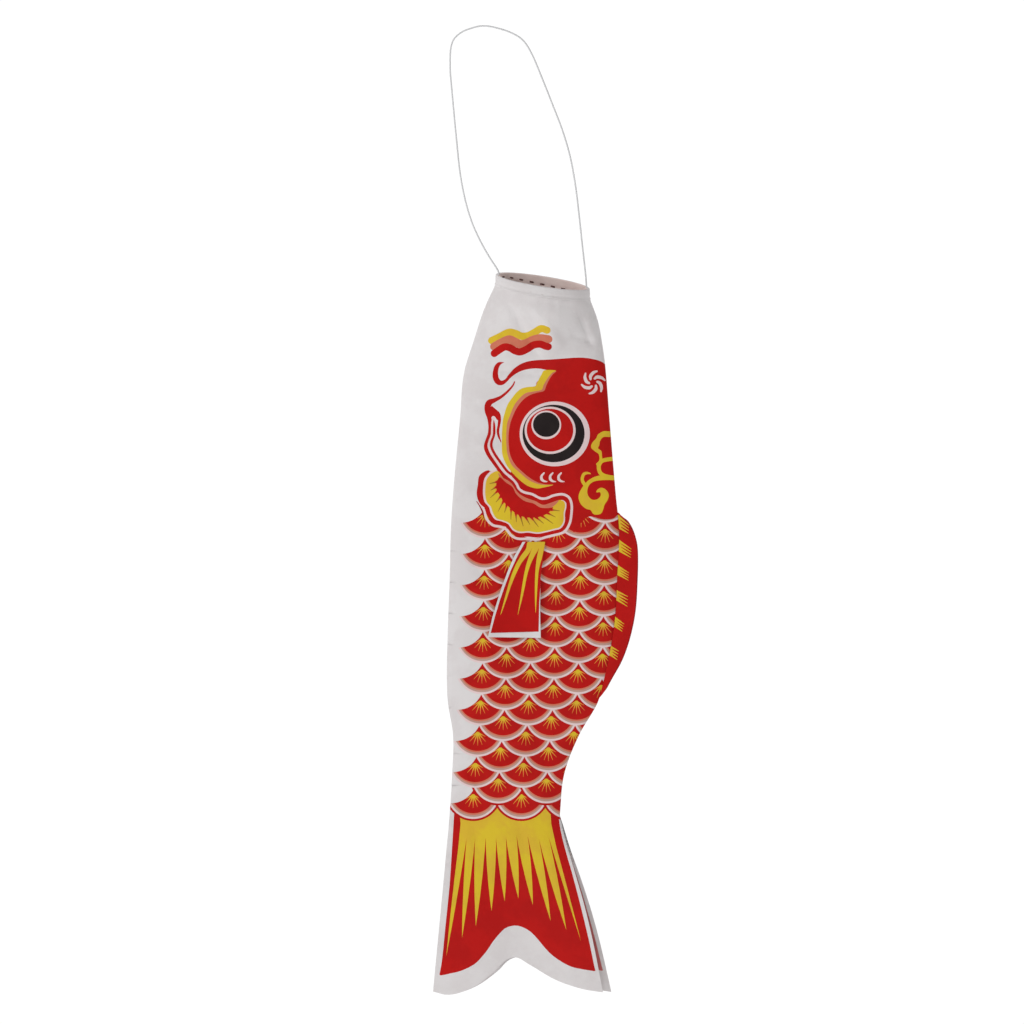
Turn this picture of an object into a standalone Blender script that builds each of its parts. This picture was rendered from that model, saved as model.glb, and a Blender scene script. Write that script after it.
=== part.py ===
"""Carp streamer: a printed cloth fish that hangs mouth up from a springy cord loop.

The frame is +Z up with its origin at the top of the cord's loop. The fish hangs in the
XZ plane with its belly towards -X, its back towards +X and its left side towards -Y.
Lengths are metres. Places along the body are drops below the highest point of the rim.
The drops, and the tables of outline points in millimetres, are drawn for a fish
DRAWN_LENGTH long and DRAWN_WIDTH wide, and they stretch with BODY_LENGTH and BODY_WIDTH.
"""

import math

import bmesh
import bpy
import numpy as np
from mathutils import Vector

MM = 0.001

# Overall sizes
BODY_LENGTH = 0.550  # highest point of the rim to the tips of the tail
BODY_WIDTH = 0.129  # widest part of the flattened trunk, without its fin
LOOP_HEIGHT = 0.188  # top of the cord's loop to the highest point of the rim
DRAWN_LENGTH = 0.550
DRAWN_WIDTH = 0.129

# Cloth and clearances
CLOTH_WALL = 0.0008
TOUCH_GAP = 0.0004  # between two pieces that meet face to face
FIN_WALL = 0.0012  # the dorsal fin is doubled cloth
FIN_GAP = 0.0006
FLAP_GAP = 0.0010

# Mouth
MOUTH_X = 0.044  # middle of the mouth, measured from the loop's top
MOUTH_WIDTH = 0.072
MOUTH_DEPTH = 0.048
MOUTH_SLOPE = -11.0 / 72.0  # the rim falls towards the back of the fish
MOUTH_TIP = 9.5 / 48.0  # and towards its left side
RIM_TOP = 0.0065  # highest point of the rim above its middle
HEM_HEIGHT = 0.0080
HEM_CHANNEL = 0.0028  # free width inside the casing
HEM_FOLD = 0.0012  # cloth thickness at the top fold
HOOP_HEIGHT = 0.0058
HOOP_THICKNESS = 0.0005
HOOP_LAP = math.radians(24.0)  # how far the strip's ends pass each other
HOOP_CLEARANCE = 0.00035
THREAD_DIAMETER = 0.0005
THREAD_DROP = 0.0038  # stitch line below the rim

# Cord
CORD_DIAMETER = 0.0013
CORD_CLEARANCE = 0.00035
KNOT_WIDTH = 0.0038
KNOT_LENGTH = 0.0046
KNOT_SHIFT = 0.0009  # the knot lies this far inside the line of its hole
KNOT_CLEARANCE = 0.0007  # below the casing's foot
CORD_END_GAP = 0.0005  # the cord ends this far above its knot
CORD_DROP = 0.0042  # it hangs straight from its hole for this far
CORD_LEAD = 0.0006  # and stands straight above it for this far

# Joints across the body, as drops below the highest point of the rim, and the folding bands there
NECK_DROP = 0.074
TRUNK_DROP = 0.149
TAIL_DROP = 0.383
NECK_BEND = math.radians(35.0)
TRUNK_BEND = math.radians(45.0)
TAIL_BEND = math.radians(60.0)
FOLD_SPARE = 0.0010  # height of a band beyond what its bend needs

# Tail
TAIL_ROOT_DROP = 0.414
TAIL_GAP = 0.0080  # between the two panels where they hang free
TAIL_SPREAD = 0.0065  # how far the right panel hangs out past the left one, at the bottom

# Fins
DORSAL_TOP_DROP = 0.183
DORSAL_BOTTOM_DROP = 0.324
PECTORAL_DROP = 0.205
PECTORAL_LENGTH = 0.0735
PECTORAL_TOP_WIDTH = 0.0175
PECTORAL_BOTTOM_WIDTH = 0.0400
PECTORAL_TOP_X = 0.0370  # middle of the sewn edge
PECTORAL_BOTTOM_X = 0.0226  # middle of the free edge

# Seam allowance inside the back
SEAM_WIDTH = 0.0030
SEAM_THICKNESS = 0.0007
SEAM_INSET = 0.0036  # from the back edge to the seam's near side
SEAM_KNOT_GAP = 0.0040  # the seam starts this far below the knot on that side

ROUND = 40  # points round the cloth tube
LEVEL_STEP = 0.0125  # height between rings of points
RING_SIDES = 6

# Drop below the rim, mouth's middle line to the belly edge and to the back edge, and depth (mm)
BODY_OUTLINE = (
    (32, 44.5, 42.0, 41.0),
    (56, 53.3, 46.0, 31.0),
    (74, 59.5, 48.0, 25.0),
    (112, 63.1, 51.0, 18.0),
    (172, 68.6, 56.0, 14.5),
    (196, 70.0, 58.4, 13.5),
    (232, 70.9, 57.0, 12.8),
    (268, 72.2, 54.8, 12.2),
    (316, 73.0, 45.5, 11.6),
    (328, 72.2, 41.8, 11.2),
    (352, 68.4, 28.0, 10.4),
    (382, 69.0, 16.5, 9.8),
    (414, 71.0, 13.0, 9.2),
)

# Drop below the rim, middle line to the belly edge and to the back edge of a tail panel (mm)
TAIL_OUTLINE = (
    (414, 71.0, 13.0),
    (437, 73.0, 18.5),
    (462, 75.4, 26.0),
    (487, 77.8, 33.0),
    (512, 80.2, 38.8),
    (548, 83.6, 45.8),
)

# Across the tail's free edge, belly to back: share of the width, and drop below the rim (mm)
TAIL_EDGE = (
    (0.00, 548.0),
    (0.09, 550.4),
    (0.23, 545.0),
    (0.37, 532.0),
    (0.43, 524.5),
    (0.50, 522.0),
    (0.58, 527.5),
    (0.73, 539.0),
    (0.88, 545.8),
    (1.00, 548.5),
)

# Drop below the rim, and how far the dorsal fin stands out from the back edge (mm)
DORSAL_OUTLINE = (
    (183, 1.4),
    (190, 7.0),
    (204, 12.4),
    (216, 14.2),
    (242, 14.8),
    (265, 14.0),
    (295, 10.0),
    (312, 4.5),
    (324, 1.4),
)

# The free loop of the cord's centreline (x, z) from the belly hole to the back hole (mm)
CORD_ROUTE = (
    (9.2, -185.2),
    (5.0, -178.8),
    (0.0, -170.5),
    (-5.0, -161.0),
    (-10.0, -149.5),
    (-15.0, -133.0),
    (-19.0, -112.0),
    (-22.0, -84.0),
    (-25.0, -52.0),
    (-26.6, -31.0),
    (-25.3, -13.5),
    (-18.5, -5.2),
    (-7.5, -0.9),
    (0.0, 0.0),
    (9.0, -1.5),
    (20.0, -5.2),
    (29.0, -11.0),
    (36.0, -22.0),
    (44.0, -41.0),
    (51.5, -60.0),
    (59.0, -79.5),
    (65.0, -100.0),
    (69.0, -122.0),
    (71.8, -145.0),
    (74.3, -168.0),
    (76.7, -189.5),
)
CORD_POINTS = 80

RIM_Z = -LOOP_HEIGHT - RIM_TOP  # middle of the rim
HEM_BOTTOM_Z = RIM_Z - HEM_HEIGHT
HEM_THICKNESS = 2 * CLOTH_WALL + HEM_CHANNEL
CORD_INSET = CLOTH_WALL + 2 * HOOP_CLEARANCE + HOOP_THICKNESS + CORD_DIAMETER / 2


def drop_to_z(drop):
    """Height of a place given as a drop below the highest point of the rim."""
    return -LOOP_HEIGHT - drop * BODY_LENGTH / DRAWN_LENGTH


def outline_drop(millimetres):
    """A drop in an outline table as a height."""
    return drop_to_z(millimetres * MM)


def across(millimetres):
    """A breadth in an outline table, in metres."""
    return millimetres * MM * BODY_WIDTH / DRAWN_WIDTH


def smooth(xs, ys, x):
    """Value at x of a smooth curve through the points, which have rising xs."""
    xs = np.asarray(xs, float)
    ys = np.asarray(ys, float)
    slopes = np.diff(ys) / np.diff(xs)
    tangents = np.concatenate([slopes[:1], (slopes[1:] + slopes[:-1]) / 2, slopes[-1:]])
    x = float(np.clip(x, xs[0], xs[-1]))
    i = int(np.clip(np.searchsorted(xs, x) - 1, 0, len(xs) - 2))
    step = xs[i + 1] - xs[i]
    t = (x - xs[i]) / step
    return (
        ys[i] * (2 * t**3 - 3 * t**2 + 1)
        + ys[i + 1] * (3 * t**2 - 2 * t**3)
        + tangents[i] * step * (t**3 - 2 * t**2 + t)
        + tangents[i + 1] * step * (t**3 - t**2)
    )


def body_column(column, mouth_value, z):
    """One column of BODY_OUTLINE at a height, starting from the mouth's own size at the hem."""
    heights = [HEM_BOTTOM_Z] + [outline_drop(row[0]) for row in BODY_OUTLINE]
    if column == 3:
        values = [mouth_value] + [min(row[3] * MM, mouth_value) for row in BODY_OUTLINE]
    else:
        values = [mouth_value] + [across(row[column]) for row in BODY_OUTLINE]
    return smooth([-h for h in heights], values, -z)


def section(z):
    """(belly edge x, back edge x, depth) of the body at a height. Above the hem's foot it is the mouth's."""
    if z >= HEM_BOTTOM_Z:
        return MOUTH_X - MOUTH_WIDTH / 2, MOUTH_X + MOUTH_WIDTH / 2, MOUTH_DEPTH
    belly = body_column(1, MOUTH_WIDTH / 2, z)
    back = body_column(2, MOUTH_WIDTH / 2, z)
    return MOUTH_X - belly, MOUTH_X + back, body_column(3, MOUTH_DEPTH, z)


def lean(z):
    """How much of the mouth's tilt the ring at this height has: all of it at the hem, none at the neck."""
    neck = drop_to_z(NECK_DROP) + fold_height(NECK_DROP, NECK_BEND) / 2
    return float(np.clip((z - neck) / (HEM_BOTTOM_Z - neck), 0.0, 1.0))


def fold_height(drop, bend):
    """Height of the band that folds at a joint: tubes this far apart don't touch at the limit."""
    depth = body_column(3, MOUTH_DEPTH, drop_to_z(drop))
    return depth * math.tan(bend / 2) + FOLD_SPARE


def point_on_ring(z, angle, inset):
    """A point at an angle round the body, inset from the outside of its cloth."""
    left, right, depth = section(z)
    x = ((right - left) / 2 - inset) * math.cos(angle)
    y = (depth / 2 - inset) * math.sin(angle)
    tilt = lean(z) * (MOUTH_SLOPE * x + MOUTH_TIP * y)
    return Vector(((left + right) / 2 + x, y, z + tilt))


def ring(z, inset):
    """The body's whole ring of points at a height."""
    return [point_on_ring(z, 2 * math.pi * k / ROUND, inset) for k in range(ROUND)]


def material(name, colour, roughness, metallic=0.0):
    """A Principled material of one colour."""
    made = bpy.data.materials.new(name)
    made.use_nodes = True
    shader = made.node_tree.nodes["Principled BSDF"]
    shader.inputs["Base Color"].default_value = (*colour, 1.0)
    shader.inputs["Roughness"].default_value = roughness
    shader.inputs["Metallic"].default_value = metallic
    return made


def add_object(name, mesh_builder, finish, pivot):
    """Makes a mesh object from a bmesh, with its origin at pivot, shaded smooth where it is round."""
    bmesh.ops.recalc_face_normals(mesh_builder, faces=mesh_builder.faces)
    bmesh.ops.translate(mesh_builder, verts=mesh_builder.verts, vec=-Vector(pivot))
    mesh = bpy.data.meshes.new(name)
    mesh_builder.to_mesh(mesh)
    mesh_builder.free()
    mesh.materials.append(finish)
    mesh.shade_smooth()
    mesh.set_sharp_from_angle(angle=math.radians(40.0))
    made = bpy.data.objects.new(name, mesh)
    made.location = pivot
    bpy.context.scene.collection.objects.link(made)
    return made


def bridge(rings, closed_across):
    """A bmesh that joins each ring to the next, and the last to the first where closed_across is true."""
    built = bmesh.new()
    loops = [[built.verts.new(p) for p in points] for points in rings]
    count = len(loops[0])
    pairs = list(zip(loops, loops[1:]))
    if closed_across:
        pairs.append((loops[-1], loops[0]))
    for upper, lower in pairs:
        for k in range(count):
            n = (k + 1) % count
            built.faces.new((upper[k], upper[n], lower[n], lower[k]))
    if not closed_across:
        built.faces.new(loops[0])
        built.faces.new(loops[-1])
    return built


def cloth_tube(name, top, bottom, finish, pivot):
    """A length of the body's cloth as an open-ended tube with a wall."""
    steps = max(2, round((top - bottom) / LEVEL_STEP))
    heights = np.linspace(top, bottom, steps + 1)
    outside = [ring(z, 0.0) for z in heights]
    inside = [ring(z, CLOTH_WALL) for z in heights]
    return add_object(name, bridge(outside + inside[::-1], True), finish, pivot)


def make_hem(finish, pivot):
    """The casing: cloth turned over at the rim and open below, with a hole through its fold at each end."""
    inner = HEM_THICKNESS
    profile = (
        (0.0, HEM_HEIGHT),
        (0.0, 0.0014),
        (0.0005, 0.0003),
        (0.0014, 0.0),
        (inner - 0.0014, 0.0),
        (inner - 0.0005, 0.0003),
        (inner, 0.0014),
        (inner, HEM_HEIGHT),
        (inner - CLOTH_WALL, HEM_HEIGHT),
        (inner - CLOTH_WALL, HEM_FOLD),
        (CLOTH_WALL, HEM_FOLD),
        (CLOTH_WALL, HEM_HEIGHT),
    )
    rings = []
    for inset, drop in profile:
        rings.append([p - Vector((0, 0, drop)) for p in ring(RIM_Z, inset)])
    hem = add_object("mouth_hem", bridge(rings, True), finish, pivot)
    for angle, side in ((math.pi, "belly"), (0.0, "back")):
        centre = point_on_ring(RIM_Z, angle, CORD_INSET)
        cutter = make_hole_cutter(f"cord_hole_{side}", centre)
        cut = hem.modifiers.new(cutter.name, "BOOLEAN")
        cut.operation = "DIFFERENCE"
        cut.object = cutter
    return hem


def make_hole_cutter(name, centre):
    """A short upright rod that cuts the cord's hole through the fold and stays clear of the channel's foot."""
    built = bmesh.new()
    bmesh.ops.create_cone(
        built,
        cap_ends=True,
        segments=12,
        radius1=CORD_DIAMETER / 2 + CORD_CLEARANCE,
        radius2=CORD_DIAMETER / 2 + CORD_CLEARANCE,
        depth=2 * (HEM_FOLD + 0.0010),
    )
    mesh = bpy.data.meshes.new(name)
    built.to_mesh(mesh)
    built.free()
    cutter = bpy.data.objects.new(name, mesh)
    cutter.location = centre
    cutter.hide_render = True
    cutter.display_type = "WIRE"
    bpy.context.scene.collection.objects.link(cutter)
    return cutter


def make_hoop(finish, pivot):
    """A flat strip bent round inside the casing, its ends passing each other at the mouth's right side."""
    outer_face = CLOTH_WALL + HOOP_CLEARANCE
    lap_shift = HOOP_THICKNESS + HOOP_CLEARANCE
    top = HEM_FOLD + HOOP_CLEARANCE
    turn = 2 * math.pi + HOOP_LAP
    start = math.pi / 2 - HOOP_LAP / 2
    count = 64
    rings = []
    for k in range(count + 1):
        swept = turn * k / count
        inward = outer_face + lap_shift * min(1.0, max(0.0, swept - math.pi * 1.75) / (math.pi * 0.25))
        corners = []
        for inset, drop in (
            (inward, top),
            (inward, top + HOOP_HEIGHT),
            (inward + HOOP_THICKNESS, top + HOOP_HEIGHT),
            (inward + HOOP_THICKNESS, top),
        ):
            corners.append(point_on_ring(RIM_Z, start + swept, inset) - Vector((0, 0, drop)))
        rings.append(corners)
    return add_object("mouth_hoop", bridge(rings, False), finish, pivot)


def make_hem_thread(finish, pivot):
    """The sewing thread's run round the inside of the casing."""
    inset = HEM_THICKNESS + TOUCH_GAP + THREAD_DIAMETER / 2
    rings = []
    for k in range(ROUND):
        angle = 2 * math.pi * k / ROUND
        middle = point_on_ring(RIM_Z, angle, inset) - Vector((0, 0, THREAD_DROP))
        outwards = (point_on_ring(RIM_Z, angle, 0.0) - point_on_ring(RIM_Z, angle, inset)).normalized()
        points = []
        for side in range(RING_SIDES):
            turn = 2 * math.pi * side / RING_SIDES
            offset = outwards * math.cos(turn) + Vector((0, 0, 1)) * math.sin(turn)
            points.append(middle + offset * (THREAD_DIAMETER / 2))
        rings.append(points)
    return add_object("hem_thread", bridge(rings, True), finish, pivot)


def knot_top(angle):
    """Height of the top of the knot at an angle round the mouth."""
    feet = [point_on_ring(RIM_Z, angle, inset).z - HEM_HEIGHT for inset in (0.0, HEM_THICKNESS)]
    return min(feet) - KNOT_CLEARANCE


def cord_end_points(angle):
    """The cord's straight run at one hole, from its end beside the knot upwards."""
    hole = point_on_ring(RIM_Z, angle, CORD_INSET)
    heights = (knot_top(angle) + CORD_END_GAP, hole.z - CORD_DROP, hole.z + CORD_LEAD)
    return [Vector((hole.x, 0.0, z)) for z in heights]


def cord_curve_points():
    """Evenly spread points on a smooth curve from hole to hole through CORD_ROUTE."""
    loop = [Vector((x * MM, 0.0, z * MM)) for x, z in CORD_ROUTE]
    route = cord_end_points(math.pi) + loop + cord_end_points(0.0)[::-1]
    ends = [2 * route[0] - route[1]] + route + [2 * route[-1] - route[-2]]
    fine = []
    for before, a, b, after in zip(ends, ends[1:], ends[2:], ends[3:]):
        for k in range(16):
            t = k / 16
            fine.append(
                0.5
                * (
                    2 * a
                    + (b - before) * t
                    + (2 * before - 5 * a + 4 * b - after) * t**2
                    + (3 * a - before - 3 * b + after) * t**3
                )
            )
    fine.append(route[-1])
    lengths = np.concatenate([[0.0], np.cumsum([(b - a).length for a, b in zip(fine, fine[1:])])])
    wanted = np.linspace(0.0, lengths[-1], CORD_POINTS)
    columns = [np.interp(wanted, lengths, [p[axis] for p in fine]) for axis in range(3)]
    return [Vector(values) for values in zip(*columns)]


def make_cord(finish):
    """The hanging cord as a round tube with closed ends."""
    curve = bpy.data.curves.new("hanging_cord", "CURVE")
    curve.dimensions = "3D"
    curve.bevel_depth = CORD_DIAMETER / 2
    curve.bevel_resolution = 2
    curve.use_fill_caps = True
    spline = curve.splines.new("POLY")
    points = cord_curve_points()
    spline.points.add(len(points) - 1)
    for point, place in zip(spline.points, points):
        point.co = (*place, 1.0)
    curve.materials.append(finish)
    made = bpy.data.objects.new("hanging_cord", curve)
    bpy.context.scene.collection.objects.link(made)
    return made


def make_knot(name, angle, finish, pivot):
    """The stopper knot under the casing: a plump egg, wider than the casing's free gap."""
    built = bmesh.new()
    bmesh.ops.create_icosphere(built, subdivisions=2, radius=1.0)
    centre = point_on_ring(RIM_Z, angle, CORD_INSET + KNOT_SHIFT)
    centre.z = knot_top(angle) - KNOT_LENGTH / 2
    for vertex in built.verts:
        waist = 1.0 - 0.18 * math.exp(-((vertex.co.z / 0.35) ** 2))
        vertex.co.x *= KNOT_WIDTH / 2 * waist
        vertex.co.y *= KNOT_WIDTH / 2 * waist
        vertex.co.z *= KNOT_LENGTH / 2
        vertex.co += centre
    return add_object(name, built, finish, pivot)


def panel_edge(z, column):
    """Distance of a tail panel's edge from the mouth's middle line at a height."""
    drops = [-outline_drop(row[0]) for row in TAIL_OUTLINE]
    return smooth(drops, [across(row[column]) for row in TAIL_OUTLINE], -z)


def make_tail_panel(name, side, spread, finish, pivot):
    """One panel of the tail. side is -1 for the left one and 1 for the right one."""
    columns, rows = 22, 12
    top = drop_to_z(TAIL_ROOT_DROP) - TOUCH_GAP
    root_depth = section(top)[2] / 2 - CLOTH_WALL / 2
    shares = [share for share, _ in TAIL_EDGE]
    edge_drops = [drop for _, drop in TAIL_EDGE]
    face = []
    for row in range(rows + 1):
        v = row / rows
        line = []
        for column in range(columns + 1):
            u = column / columns
            bottom = outline_drop(smooth(shares, edge_drops, u))
            z = top + v * (bottom - top)
            left = MOUTH_X - panel_edge(z, 1)
            right = MOUTH_X + panel_edge(z, 2) + spread * v**0.7
            x = left + u * (right - left)
            rounded = root_depth * math.sqrt(max(0.0, 1.0 - (2 * u - 1) ** 2))
            settle = min(1.0, v * 3.0)
            y = rounded + (TAIL_GAP / 2 - rounded) * settle * settle * (3 - 2 * settle)
            line.append(Vector((x, side * max(y, CLOTH_WALL / 2 + TOUCH_GAP), z)))
        face.append(line)
    return add_object(name, slab_from_grid(face, CLOTH_WALL), finish, pivot)


def slab_from_grid(face, thickness):
    """A closed sheet of even thickness in Y, with its middle on a grid of points."""
    built = bmesh.new()
    half = Vector((0, thickness / 2, 0))
    near = [[built.verts.new(p - half) for p in line] for line in face]
    far = [[built.verts.new(p + half) for p in line] for line in face]
    rows, columns = len(face), len(face[0])
    for r in range(rows - 1):
        for c in range(columns - 1):
            built.faces.new((near[r][c], near[r][c + 1], near[r + 1][c + 1], near[r + 1][c]))
            built.faces.new((far[r][c], far[r + 1][c], far[r + 1][c + 1], far[r][c + 1]))
    border = [(0, c) for c in range(columns)]
    border += [(r, columns - 1) for r in range(1, rows)]
    border += [(rows - 1, c) for c in range(columns - 2, -1, -1)]
    border += [(r, 0) for r in range(rows - 2, 0, -1)]
    for (r, c), (s, d) in zip(border, border[1:] + border[:1]):
        built.faces.new((near[r][c], far[r][c], far[s][d], near[s][d]))
    return built


def back_edge(z):
    """The outside of the body's back at a height."""
    return section(z)[1]


def make_dorsal_fin(finish, pivot):
    """Doubled cloth standing out from the back seam."""
    top, bottom = drop_to_z(DORSAL_TOP_DROP), drop_to_z(DORSAL_BOTTOM_DROP)
    span = DORSAL_OUTLINE[-1][0] - DORSAL_OUTLINE[0][0]
    places = [(row[0] - DORSAL_OUTLINE[0][0]) / span for row in DORSAL_OUTLINE]
    widths = [row[1] * MM for row in DORSAL_OUTLINE]
    face = []
    for row in range(21):
        v = row / 20
        z = top + v * (bottom - top)
        root = back_edge(z) + FIN_GAP
        width = smooth(places, widths, v)
        face.append([Vector((root + width * u, 0.0, z)) for u in (0.0, 0.5, 1.0)])
    return add_object("dorsal_fin", slab_from_grid(face, FIN_WALL), finish, pivot)


def pectoral_plane(side):
    """Y of a pectoral fin's middle plane, clear of the trunk's widest place under it."""
    deepest = section(drop_to_z(PECTORAL_DROP))[2] / 2
    return side * (deepest + FLAP_GAP + CLOTH_WALL / 2)


def make_pectoral_fin(name, side, finish, pivot):
    """A loose cloth fin, sewn along its top edge only."""
    top = drop_to_z(PECTORAL_DROP)
    face = []
    for row in range(9):
        v = row / 8
        width = PECTORAL_TOP_WIDTH + (PECTORAL_BOTTOM_WIDTH - PECTORAL_TOP_WIDTH) * v
        middle = PECTORAL_TOP_X + (PECTORAL_BOTTOM_X - PECTORAL_TOP_X) * v
        line = []
        for u in (-0.5, -0.17, 0.17, 0.5):
            place = (middle + u * width, pectoral_plane(side), top - v * PECTORAL_LENGTH)
            line.append(Vector(place))
        face.append(line)
    return add_object(name, slab_from_grid(face, CLOTH_WALL), finish, pivot)


def make_back_seam(name, top, bottom, finish, pivot):
    """The seam allowance that stands inside the back of the tube."""
    steps = max(2, round((top - bottom) / LEVEL_STEP))
    face = []
    for z in np.linspace(top, bottom, steps + 1):
        insets = (SEAM_INSET + SEAM_WIDTH, SEAM_INSET)
        face.append([point_on_ring(z, 0.0, inset) for inset in insets])
    return add_object(name, slab_from_grid(face, SEAM_THICKNESS), finish, pivot)


def main():
    """Clears the scene and builds every piece."""
    for leftover in list(bpy.data.objects):
        bpy.data.objects.remove(leftover, do_unlink=True)

    white_cloth = material("white_cloth", (0.80, 0.77, 0.77), 0.55)
    printed_cloth = material("printed_cloth", (0.58, 0.02, 0.02), 0.50)
    fin_cloth = material("fin_cloth", (0.62, 0.02, 0.02), 0.50)
    hoop_plastic = material("hoop_plastic", (0.70, 0.68, 0.64), 0.40)
    cord_nylon = material("cord_nylon", (0.78, 0.77, 0.76), 0.35)
    sewing_thread = material("sewing_thread", (0.10, 0.05, 0.05), 0.70)

    neck = Vector((MOUTH_X, 0.0, drop_to_z(NECK_DROP)))
    trunk = Vector((MOUTH_X, 0.0, drop_to_z(TRUNK_DROP)))
    tail = Vector((MOUTH_X, 0.0, drop_to_z(TAIL_DROP)))
    mouth = Vector((MOUTH_X, 0.0, RIM_Z - HEM_FOLD / 2))
    neck_half = fold_height(NECK_DROP, NECK_BEND) / 2
    trunk_half = fold_height(TRUNK_DROP, TRUNK_BEND) / 2
    tail_half = fold_height(TAIL_DROP, TAIL_BEND) / 2
    tail_root = drop_to_z(TAIL_ROOT_DROP)

    make_cord(cord_nylon)
    make_knot("cord_knot_belly", math.pi, cord_nylon, mouth)
    make_knot("cord_knot_back", 0.0, cord_nylon, mouth)
    make_hem(white_cloth, mouth)
    make_hoop(hoop_plastic, mouth)
    make_hem_thread(sewing_thread, mouth)

    collar_top = HEM_BOTTOM_Z - TOUCH_GAP
    cloth_tube("collar_cloth", collar_top, neck.z + neck_half, white_cloth, mouth)
    cloth_tube("neck_fold", neck.z + neck_half - TOUCH_GAP, neck.z - neck_half + TOUCH_GAP, white_cloth, neck)
    cloth_tube("head_cloth", neck.z - neck_half, trunk.z + trunk_half, printed_cloth, neck)
    cloth_tube("trunk_fold", trunk.z + trunk_half - TOUCH_GAP, trunk.z - trunk_half + TOUCH_GAP, printed_cloth, trunk)
    cloth_tube("trunk_cloth", trunk.z - trunk_half, tail.z + tail_half, printed_cloth, trunk)
    cloth_tube("tail_fold", tail.z + tail_half - TOUCH_GAP, tail.z - tail_half + TOUCH_GAP, printed_cloth, tail)
    cloth_tube("tail_stock_cloth", tail.z - tail_half, tail_root, printed_cloth, tail)

    below_knot = collar_top - KNOT_LENGTH - SEAM_KNOT_GAP
    make_back_seam("back_seam_collar", below_knot, neck.z + neck_half, white_cloth, mouth)
    make_back_seam("back_seam_head", neck.z - neck_half, trunk.z + trunk_half, white_cloth, neck)
    make_back_seam("back_seam_trunk", trunk.z - trunk_half, tail.z + tail_half, white_cloth, trunk)
    make_back_seam("back_seam_tail", tail.z - tail_half, tail_root, white_cloth, tail)

    make_tail_panel("tail_left", -1, 0.0, printed_cloth, tail)
    make_tail_panel("tail_right", 1, TAIL_SPREAD, printed_cloth, tail)

    dorsal_root = drop_to_z(DORSAL_TOP_DROP)
    make_dorsal_fin(fin_cloth, Vector((back_edge(dorsal_root) + FIN_GAP, 0.0, dorsal_root)))
    for name, side in (("pectoral_fin_left", -1), ("pectoral_fin_right", 1)):
        hinge = Vector((PECTORAL_TOP_X, pectoral_plane(side), drop_to_z(PECTORAL_DROP)))
        make_pectoral_fin(name, side, fin_cloth, hinge)


main()
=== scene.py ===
"""Carp streamer: a printed cloth fish that hangs mouth up from a springy cord loop.

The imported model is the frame: +Z up, origin at the top of the cord's loop, belly towards -X,
back towards +X, left side towards -Y. The cloth is printed flat and then lifted on to the tube:
every ink shape is a polygon on the flat cloth, and a triangulation keeps its edges crisp.
Artwork tables are in millimetres, seen square on from the left side.
"""

import logging
import math
from dataclasses import dataclass, field
from enum import Enum
from typing import Callable, Iterable, Sequence

import bmesh
import bpy
import numpy as np
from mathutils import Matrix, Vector, geometry


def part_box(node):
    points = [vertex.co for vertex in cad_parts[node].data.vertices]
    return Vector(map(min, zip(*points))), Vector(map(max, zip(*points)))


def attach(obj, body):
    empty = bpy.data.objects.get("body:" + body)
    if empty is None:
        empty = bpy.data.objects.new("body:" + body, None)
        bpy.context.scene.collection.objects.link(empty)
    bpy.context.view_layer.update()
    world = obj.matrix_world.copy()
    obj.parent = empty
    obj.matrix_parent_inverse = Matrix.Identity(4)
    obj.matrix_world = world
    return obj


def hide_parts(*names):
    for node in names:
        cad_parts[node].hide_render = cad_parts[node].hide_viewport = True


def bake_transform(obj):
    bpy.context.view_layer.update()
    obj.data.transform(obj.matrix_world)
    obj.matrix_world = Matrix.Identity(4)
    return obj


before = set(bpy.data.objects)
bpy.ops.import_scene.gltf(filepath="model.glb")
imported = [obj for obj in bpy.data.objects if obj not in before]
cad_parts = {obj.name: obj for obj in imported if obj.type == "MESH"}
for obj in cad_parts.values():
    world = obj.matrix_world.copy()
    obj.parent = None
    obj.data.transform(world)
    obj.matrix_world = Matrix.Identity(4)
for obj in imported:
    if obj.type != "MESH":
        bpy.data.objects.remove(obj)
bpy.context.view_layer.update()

MM = 0.001
LOG = logging.getLogger("carp_streamer")

Point = tuple[float, float]
Points = Sequence[Point]

WHITE = (1.0, 1.0, 1.0, 1.0)


def add_object(name: str, data: bpy.types.ID) -> bpy.types.Object:
    """Makes an object and links it to the scene.

    Args:
        name: the object's name.
        data: the mesh, light or camera that it shows.

    Returns:
        The object.
    """
    made = bpy.data.objects.new(name, data)
    bpy.context.scene.collection.objects.link(made)
    return made


# ---------------------------------------------------------------- shader maths


class Signal:
    """A shader socket that takes part in Python arithmetic."""

    def __init__(self, recipe: "Recipe", socket: bpy.types.NodeSocket) -> None:
        """Wraps one socket of a recipe.

        Args:
            recipe: the recipe that owns the socket's tree.
            socket: the output socket to wrap.
        """
        self.recipe = recipe
        self.socket = socket

    def _math(self, operation: str, first: "Signal | float", second: "Signal | float") -> "Signal":
        """Adds one Math node.

        Args:
            operation: the Math node's operation.
            first: its first operand.
            second: its second operand.

        Returns:
            The node's result.
        """
        made = self.recipe.node("ShaderNodeMath", {"operation": operation}, {0: first, 1: second})
        return self.recipe.out(made, 0)

    def __add__(self, other: "Signal | float") -> "Signal":
        """self + other."""
        return self._math("ADD", self, other)

    __radd__ = __add__

    def __mul__(self, other: "Signal | float") -> "Signal":
        """self * other."""
        return self._math("MULTIPLY", self, other)

    __rmul__ = __mul__


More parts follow.
